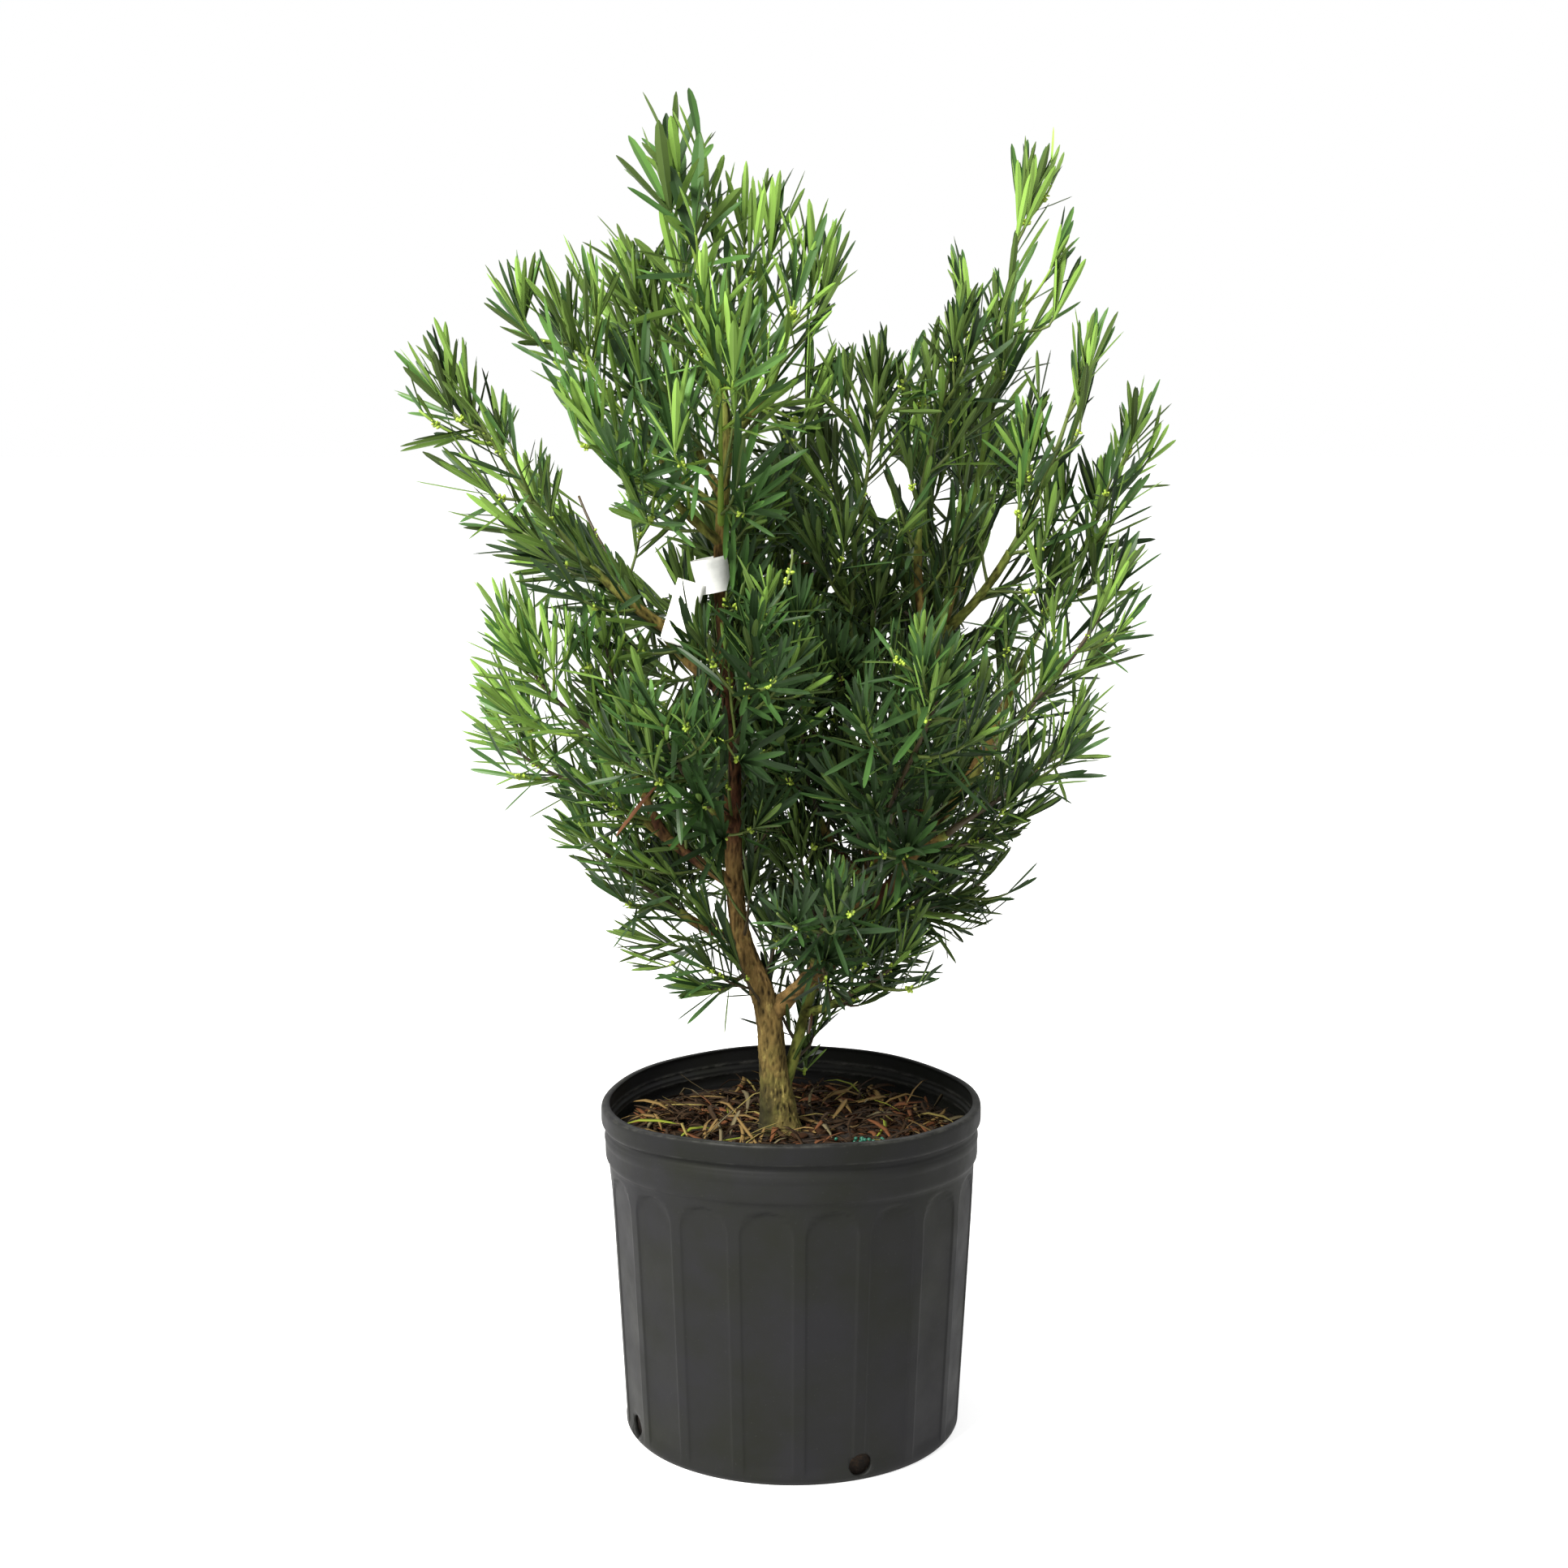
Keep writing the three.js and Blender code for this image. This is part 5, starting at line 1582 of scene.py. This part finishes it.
def pot_radius(heights):
    """The pot's outer radius at heights, without its panels."""
    rise = smooth_step(heights, POT_SHOULDER["low"], POT_SHOULDER["high"] - POT_SHOULDER["low"])
    plain = wall_radius(heights)
    radius = plain + np.where(rise > 0, rise * (POT_SHOULDER["radius"] - plain), 0)
    for band in POT_BANDS:
        off = np.abs(heights - band["middle"]) / band["half"]
        bulge = band["radius"] - band["drop"] * off ** band["power"]
        radius = np.where(off <= 1, np.maximum(radius, bulge), radius)
    foot = np.clip(1 - heights / POT_WALL_FOOT["height"], 0, 1)
    return radius - POT_FOOT_CHAMFER * foot**1.5


def inner_radius(heights):
    """The radius of the pot's inner side, which follows the rim's bands with less relief."""
    share = smooth_step(heights, INNER_SIDE["from"], INNER_SIDE["over"])
    follows = INNER_SIDE["follows"]
    followed = follows * pot_radius(heights) + (1 - follows) * POT_SHOULDER["radius"] - POT_WALL["rim"]
    for ring in INNER_RINGS["heights"]:
        followed = followed - INNER_RINGS["rise"] * peaks(heights, ring, INNER_RINGS["width"])
    return (1 - share) * (wall_radius(heights) - POT_WALL["lower"]) + share * followed


def panelled(radii, heights, angles):
    """Radii with the flat arched panels pressed in."""
    step = 2 * np.pi / PANEL_COUNT
    off = (angles - PANEL_FIRST + np.pi / 2 + step / 2) % step - step / 2
    wall = wall_radius(heights)[:, None]
    half = wall * math.sin(PANEL_ARC / 2)
    across = np.abs(off) * wall
    arch = wall_radius(np.array(PANEL_TOP)) * math.sin(PANEL_ARC / 2)
    above = heights[:, None] - (PANEL_TOP - arch)
    sides = half - across
    top = arch - np.hypot(across, above)
    depth_in = np.where(above > 0, np.minimum(top, sides), sides)
    depth_in = np.minimum(depth_in, heights[:, None] - PANEL_FOOT)
    flat = (wall * math.cos(PANEL_ARC / 2) - PANEL_EDGE["depth"]) / np.cos(off)
    pressed = smooth_step(depth_in, over=PANEL_EDGE["width"])
    return radii + pressed * (flat - radii)


def pot_angles():
    """Angles round the pot, close together at the panels' edges."""
    half = np.array(PANEL_COLUMNS)
    offsets = np.concatenate([-half[:0:-1], half, [1]]) * math.pi / PANEL_COUNT
    middles = PANEL_FIRST - math.pi / 2 + turns_round(PANEL_COUNT)
    return (middles[:, None] + offsets).ravel()


def rim_slack(heights):
    """How far the soft rim gives way at heights, from 0 in the wall to 1 at the lip."""
    return smooth_step(heights, RIM_GIVES_FROM, POT_HEIGHT - RIM_GIVES_FROM)[:, None]


def rim_wave(angles):
    """How far the rim is pressed out of round."""
    waves = 0.5 * np.sin(2 * angles + 0.6) + 0.3 * np.sin(5 * angles + 2)
    return (waves - 1.1 * np.cos(angles) - 0.5) * MM


def rim_lift(angles):
    """How far the rim stands up in front and at the back, and hangs at the sides."""
    waves = 0.4 * np.sin(3 * angles + 1) + 0.3 * np.sin(8 * angles) - 0.5 * np.sin(angles)
    return (1.2 - 2.6 * np.cos(2 * angles) + waves) * MM


def soft_rings(radii, heights, angles):
    """The pot's rings at heights, pressed out of round and lifted where the rim gives way."""
    slack = rim_slack(heights)
    return ring_points(radii + slack * rim_wave(angles), heights[:, None] + slack * rim_lift(angles), angles)


def pot_shape():
    """The pot's outside, then its inside, with marks for rubbed rings inside and painted highlights on the
    lip's edges, and for painted shade on the lip.
    """
    angles = pot_angles()
    outside, inside = OUTSIDE_HEIGHTS, INSIDE_HEIGHTS
    outer = panelled(pot_radius(outside)[:, None], outside, angles)
    lip = np.clip((inside - LIP["from"]) / LIP["over"], 0, 1)
    inner = (inner_radius(inside) - LIP["thins"] * lip)[:, None]
    rings = np.concatenate([soft_rings(outer, outside, angles), soft_rings(inner, inside, angles)])
    # Painted highlights along the lip's edges outside; rubbed wear on the rings inside
    edges = sum(share * peaks(outside, edge, PAINTED_HIGHLIGHT_WIDTH) for edge, share in PAINTED_LIP_HIGHLIGHTS)
    rubbed = sum(peaks(inside, ring, INNER_RINGS["rubbed"]) for ring in INNER_RINGS["heights"])
    # Painted shade on the lip's outside above a height
    dark = smooth_step(outside, PAINTED_LIP_SHADE["from"], PAINTED_LIP_SHADE["over"])
    marks = {"ring": (edges, rubbed), "lip": (dark, np.zeros(len(inside)))}
    for mark, values in marks.items():
        marks[mark] = np.append(np.repeat(np.concatenate(values), len(angles)), (0, 0))
    shape = Shape()
    shape.add(*closed_rings(rings, [(0, 0, 0), (0, 0, POT_FLOOR)]), **marks)
    return shape


def drill_drains(pot):
    """Cuts the round drainage holes through the foot of the wall."""
    cutters = Shape()
    for i in range(DRAIN_COUNT):
        angle = DRAIN_FIRST - math.pi / 2 + 2 * math.pi * i / DRAIN_COUNT
        out = np.array((math.cos(angle), math.sin(angle), 0))
        middle = out * POT_WALL_FOOT["radius"] + UP * DRAIN_HEIGHT
        points = middle + np.linspace(-DRAIN_REACH, DRAIN_REACH, 3)[:, None] * out
        add_tube(cutters, points, np.full(3, DRAIN_RADIUS), DRAIN_COLUMNS)
    cutter = bpy.data.objects.new("drain_cutters", cutters.mesh("drain_cutters"))
    bpy.context.scene.collection.objects.link(cutter)
    cut = pot.modifiers.new("drains", "BOOLEAN")
    cut.operation = "DIFFERENCE"
    cut.solver = "MANIFOLD"
    cut.object = cutter
    bpy.context.view_layer.update()
    graph = bpy.context.evaluated_depsgraph_get()
    drilled = bpy.data.meshes.new_from_object(pot.evaluated_get(graph))
    pot.modifiers.clear()
    pot.data = drilled
    bpy.data.objects.remove(cutter)


def dress_pot():
    drill_drains(add_piece("pot_shell", pot_shape(), [pot_material()], "pot", "pot"))


def tag_band():
    """The tag's loop round the trunk, a little wider at its top."""
    angles = turns_round(TAG_COLUMNS)
    rows = np.linspace(-0.5, 0.5, TAG_ROWS)[:, None]
    radius = TAG_RADIUS - TAG_FLARE["inward"] + TAG_FLARE["widens"] * (rows + 0.5)
    radius = radius + TAG_FLARE["wave"] * np.sin(6 * rows)
    outer = ring_points(radius, rows * TAG_WIDTH, angles)
    inner = ring_points(radius - TAG_FILM, rows * TAG_WIDTH, angles)[::-1]
    rings = np.concatenate([outer, inner, outer[:1]])
    turn = np.array(Matrix.Rotation(-TAG_TILT, 3, "Y"))
    return rings.reshape(-1, 3) @ turn.T + np.array(TAG_CENTRE), grid_quads(*rings.shape[:2])


def tag_tail():
    """The tag's tail, a film with rounded corners that bends away from the loop as it hangs."""
    top, foot = np.array(TAIL_TOP), np.array(TAIL_FOOT)
    down = unit(foot - top)
    face = unit(np.array((0, -1.0, 0)) + down * down[1])
    side = np.cross(face, down)
    length = np.linalg.norm(foot - top)
    shares = np.linspace(0, 1, 25)[:, None]
    in_corner = np.maximum(0, TAIL_CORNER - (1 - shares) * length)
    corner = TAIL_CORNER - np.sqrt(np.maximum(0, TAIL_CORNER**2 - in_corner**2))
    half = TAIL_WIDTH / 2 - corner
    columns = np.linspace(-1, 1, 7)
    cup = TAIL_CUP * (1 - columns**2)[:, None]
    line = top + shares * length * down + TAIL_CURL * np.sin(math.pi * shares) * face
    front = line[:, None] + (half * columns)[..., None] * side + cup * face
    back = (front - TAG_FILM * face)[:, ::-1]
    return np.concatenate([front, back], axis=1)


def dress_tag():
    """The loop and the tail, whose two ends are closed."""
    shape = Shape()
    shape.add(*tag_band())
    tail = tag_tail()
    rows, columns = tail.shape[:2]
    near = np.arange(columns // 2 - 1)
    far = columns - 1 - near
    first = np.stack([near, near + 1, far - 1, far], axis=-1)
    last = first + (rows - 1) * columns
    quads = np.concatenate([grid_quads(rows, columns), first[:, ::-1], last])
    shape.add(tail.reshape(-1, 3), quads)
    add_piece("tag_strip", shape, [tag_material()], "tag", "plant_tag")


# ------------------------------------------------------------------ potting mix and litter


def soil_height(x, y):
    """How high the potting mix lies at a place, with its crumbs and hollows."""
    out = math.hypot(x, y) / SOIL_RADIUS
    drop = SOIL_EDGE_DROP * max(0.0, out - SOIL_LEVEL_TO) ** 2
    scale = SOIL_CRUMBS["scale"]
    crumbs = noise.fractal(Vector((x * scale, y * scale, 3)), 0.8, 2.1, 4)
    return SOIL_TOP - drop + SOIL_CRUMBS["height"] * crumbs


def dress_soil():
    """The filling's side, which starts at its floor, then its rough top."""
    angles = turns_round(SOIL_GRID["columns"])
    edge = inner_radius(SOIL_TOP) - SOIL_GRID["off_wall"]
    radii = np.linspace(edge, SOIL_GRID["middle"], SOIL_GRID["rings"])[:, None]
    top = ring_points(radii, 0, angles)
    top[..., 2] = [[soil_height(x, y) for x, y, z in ring] for ring in top]
    floor = POT_FLOOR + GAP
    heights = np.array([floor, *SOIL_SIDE_HEIGHTS])[:, None]
    side = ring_points(inner_radius(heights) - GAP, heights, angles)
    shape = Shape()
    ends = [(0, 0, floor), (0, 0, soil_height(0, 0))]
    shape.add(*closed_rings(np.concatenate([side, top]), ends))
    add_piece("potting_mix", shape, [soil_material()], "soil", "soil")


def spots_on_soil(count, random, reach):
    """Places on the potting mix that miss the trunk's foot."""
    found = []
    while len(found) < count:
        radius, angle = reach * math.sqrt(random.random()), 2 * math.pi * random.random()
        x, y = radius * math.cos(angle), radius * math.sin(angle)
        if math.hypot(x - TRUNK_FOOT["x"], y - TRUNK_FOOT["y"]) > TRUNK_FOOT["radius"]:
            found.append((x, y, soil_height(x, y)))
    return np.array(found)


def between(bounds, random):
    low, high = bounds
    return low + (high - low) * random.random()


def dry_leaves(count, random, lengths, widths, tilt):
    """Curled strips that lie across each other on the potting mix."""
    shape = Shape()
    s = LEAF_STATIONS[None, :, None]
    for x, y, z in spots_on_soil(count, random, LITTER_REACH):
        turn = 2 * math.pi * random.random()
        rise = tilt * (random.random() ** 2)
        level = math.cos(rise)
        direction = np.array((math.cos(turn) * level, math.sin(turn) * level, math.sin(rise)))
        length = between(lengths, random)
        width = between(widths, random)
        roll = scattered(DRY_LEAF["roll"], random)
        across = unit(np.cross(direction, UP)) * math.cos(roll) + UP * math.sin(roll)
        across = unit(across - direction * np.dot(across, direction))
        place = np.array((x, y, z + varied(DRY_LEAF_RISE_VARIES, random)))
        start = place - direction * length * DRY_LEAF["back"] * (1, 1, 0)
        start[2] = max(start[2], z + DRY_LEAF["off_soil"])
        face = np.cross(across, direction)
        curl = (random.random() - 0.3) * DRY_LEAF["curl"] * length
        sway = scattered(DRY_LEAF["sway"], random) * length
        line = start + s * length * direction + (curl * s * (1 - s)) * face + (sway * s * (1 - s)) * across
        inward = min(1, LEAVES_STOP / np.hypot(line[0, :, 0], line[0, :, 1]).max())
        line = line * (inward, inward, 1)
        add_leaves(shape, line, across[None, None], face[None, None], np.array([width]))
    return shape


def bark_chips(count, random):
    """Flat angular chips: balls pressed flat, with corners pushed in and out."""
    shape = Shape()
    points, quads, poles = ball_points(3, 7)
    for spot in spots_on_soil(count, random, CHIPS_REACH):
        size = (CHIP_SIZES["least"] + CHIP_SIZES["over"] * random.random() ** 2) * MM
        rough = points * varied(CHIP_POINT_VARIES, random, (len(points), 1))
        scaled = rough * (size * (1 + random.random()), size, size * CHIP["thick"])
        lean = Matrix.Rotation(scattered(CHIP["lean"], random), 3, "X")
        turn = Matrix.Rotation(2 * math.pi * random.random(), 3, "Z")
        shape.add(spot + (0, 0, size * CHIP["lies"]) + scaled @ np.array(lean @ turn), quads, poles)
    return shape


def fertiliser(random):
    """Grains in loose clusters near the front of the pot."""
    shape = Shape()
    ball = ball_points(5, 9)
    for x, y, spread, count in FERTILISER_CLUSTERS:
        for away in random.normal(0, spread * 0.5, (count, 2)):
            place = (np.array((x, y)) + away) * MM
            if np.hypot(*place) > GRAINS_REACH:
                continue
            radius = varied(GRAIN_RADIUS_VARIES, random) * MM
            lift = varied(GRAIN_LIFT_VARIES, random) * MM
            centre = np.array((*place, soil_height(*place) + lift))
            add_balls(shape, ball, [centre], [radius], [1], [np.eye(3)])
    return shape


# Dry and fallen leaves: name, count, lengths, widths, how far they rise, upper and lower colour
LITTER = [
    ("dry_leaves_tan", 104, (20, 46), (1.8, 4.4), 0.45, (0.112, 0.072, 0.025), (0.070, 0.044, 0.016)),
    ("dry_leaves_straw", 28, (24, 60), (1.2, 2.4), 0.4, (0.15, 0.12, 0.036), (0.10, 0.075, 0.024)),
    ("dry_leaves_rust", 124, (14, 36), (2.2, 5.2), 0.4, (0.080, 0.031, 0.012), (0.044, 0.018, 0.008)),
    ("dry_leaves_brown", 560, (14, 40), (1.5, 3.8), 0.35, (0.022, 0.0125, 0.006), (0.014, 0.008, 0.004)),
    ("dry_leaves_grey", 26, (20, 42), (2.2, 4.2), 0.9, (0.085, 0.070, 0.038), (0.055, 0.044, 0.024)),
    ("fallen_leaves", 10, (34, 56), (2.2, 3.4), 0.3, (0.11, 0.13, 0.014), (0.16, 0.17, 0.026)),
]
CHIPS = [
    ("bark_chips_dark", 520, (0.020, 0.009, 0.004)),
    ("bark_chips_orange", 44, (0.080, 0.028, 0.011)),
]
FERTILISER_COLOUR = (0.004, 0.060, 0.036)
# A grain's radius and lift off the potting mix, in millimetres
GRAIN_RADIUS_VARIES = (1.1, 0.7)
GRAIN_LIFT_VARIES = (2, 4)
# Clusters of grains: their middle (x, y) and spread in millimetres, and how many grains
FERTILISER_CLUSTERS = [
    (50, -50, 22, 60),
    (36, -74, 14, 34),
    (74, -64, 12, 22),
    (-50, -82, 14, 16),
    (-20, -94, 8, 8),
]


def dress_litter():
    random = np.random.default_rng(LITTER_SEED)
    for name, count, lengths, widths, tilt, upper, lower in LITTER:
        shape = dry_leaves(count, random, np.array(lengths) * MM, np.array(widths) * MM, tilt)
        above = plain_material(name, upper, 0.8, 0.08)
        below = plain_material(name + "_below", lower, 0.8, 0.05)
        add_piece(name, shape, [above, below], "soil", "soil")
    for name, count, colour in CHIPS:
        sides = [plain_material(name, colour, 0.9, 0.06)]
        add_piece(name, bark_chips(count, random), sides, "soil", "soil")
    name = "fertiliser_grains"
    add_piece(name, fertiliser(random), [plain_material(name, FERTILISER_COLOUR, 0.4)], "soil", "soil")


# ------------------------------------------------------------------ stage


def add_camera():
    data = bpy.data.cameras.new("camera")
    data.lens = CAMERA_LENS
    data.sensor_width = CAMERA_SENSOR
    data.clip_end = 60
    camera = bpy.data.objects.new("camera", data)
    camera.location = CAMERA_PLACE
    camera.rotation_euler = (math.pi / 2 + CAMERA_PITCH, 0, 0)
    bpy.context.scene.collection.objects.link(camera)
    bpy.context.scene.camera = camera


def add_key_light():
    data = bpy.data.lights.new("key", "AREA")
    data.shape = "DISK"
    data.size = KEY_LIGHT["size"]
    data.energy = KEY_LIGHT["power"]
    data.color = KEY_COLOUR
    light = bpy.data.objects.new("key", data)
    light.location = KEY_LIGHT["place"]
    aim = Vector(KEY_LIGHT["target"]) - Vector(KEY_LIGHT["place"])
    light.rotation_euler = aim.to_track_quat("-Z", "Y").to_euler()
    bpy.context.scene.collection.objects.link(light)


def add_stage():
    mesh = bpy.data.meshes.new("floor")
    reach = FLOOR_REACH
    corners = [(-reach, -reach, 0), (reach, -reach, 0), (reach, reach, 0), (-reach, reach, 0)]
    mesh.from_pydata(corners, [], [(0, 1, 2, 3)])
    mesh.materials.append(floor_material())
    floor = bpy.data.objects.new("floor", mesh)
    bpy.context.scene.collection.objects.link(floor)
    world = bpy.data.worlds.new("studio")
    world.use_nodes = True
    sky = world.node_tree.nodes["Background"].inputs
    sky["Color"].default_value = (1, 1, 1, 1)
    sky["Strength"].default_value = WORLD_STRENGTH
    bpy.context.scene.world = world
    add_key_light()
    bpy.context.scene.view_settings.view_transform = "Standard"


# ------------------------------------------------------------------ the whole

add_camera()
add_stage()
limbs = grow_limbs()
bark = bark_material()
dress_trunk(limbs, bark)
dress_boughs(limbs, bark)
dress_foliage(limbs)
dress_pot()
dress_tag()
dress_soil()
dress_litter()
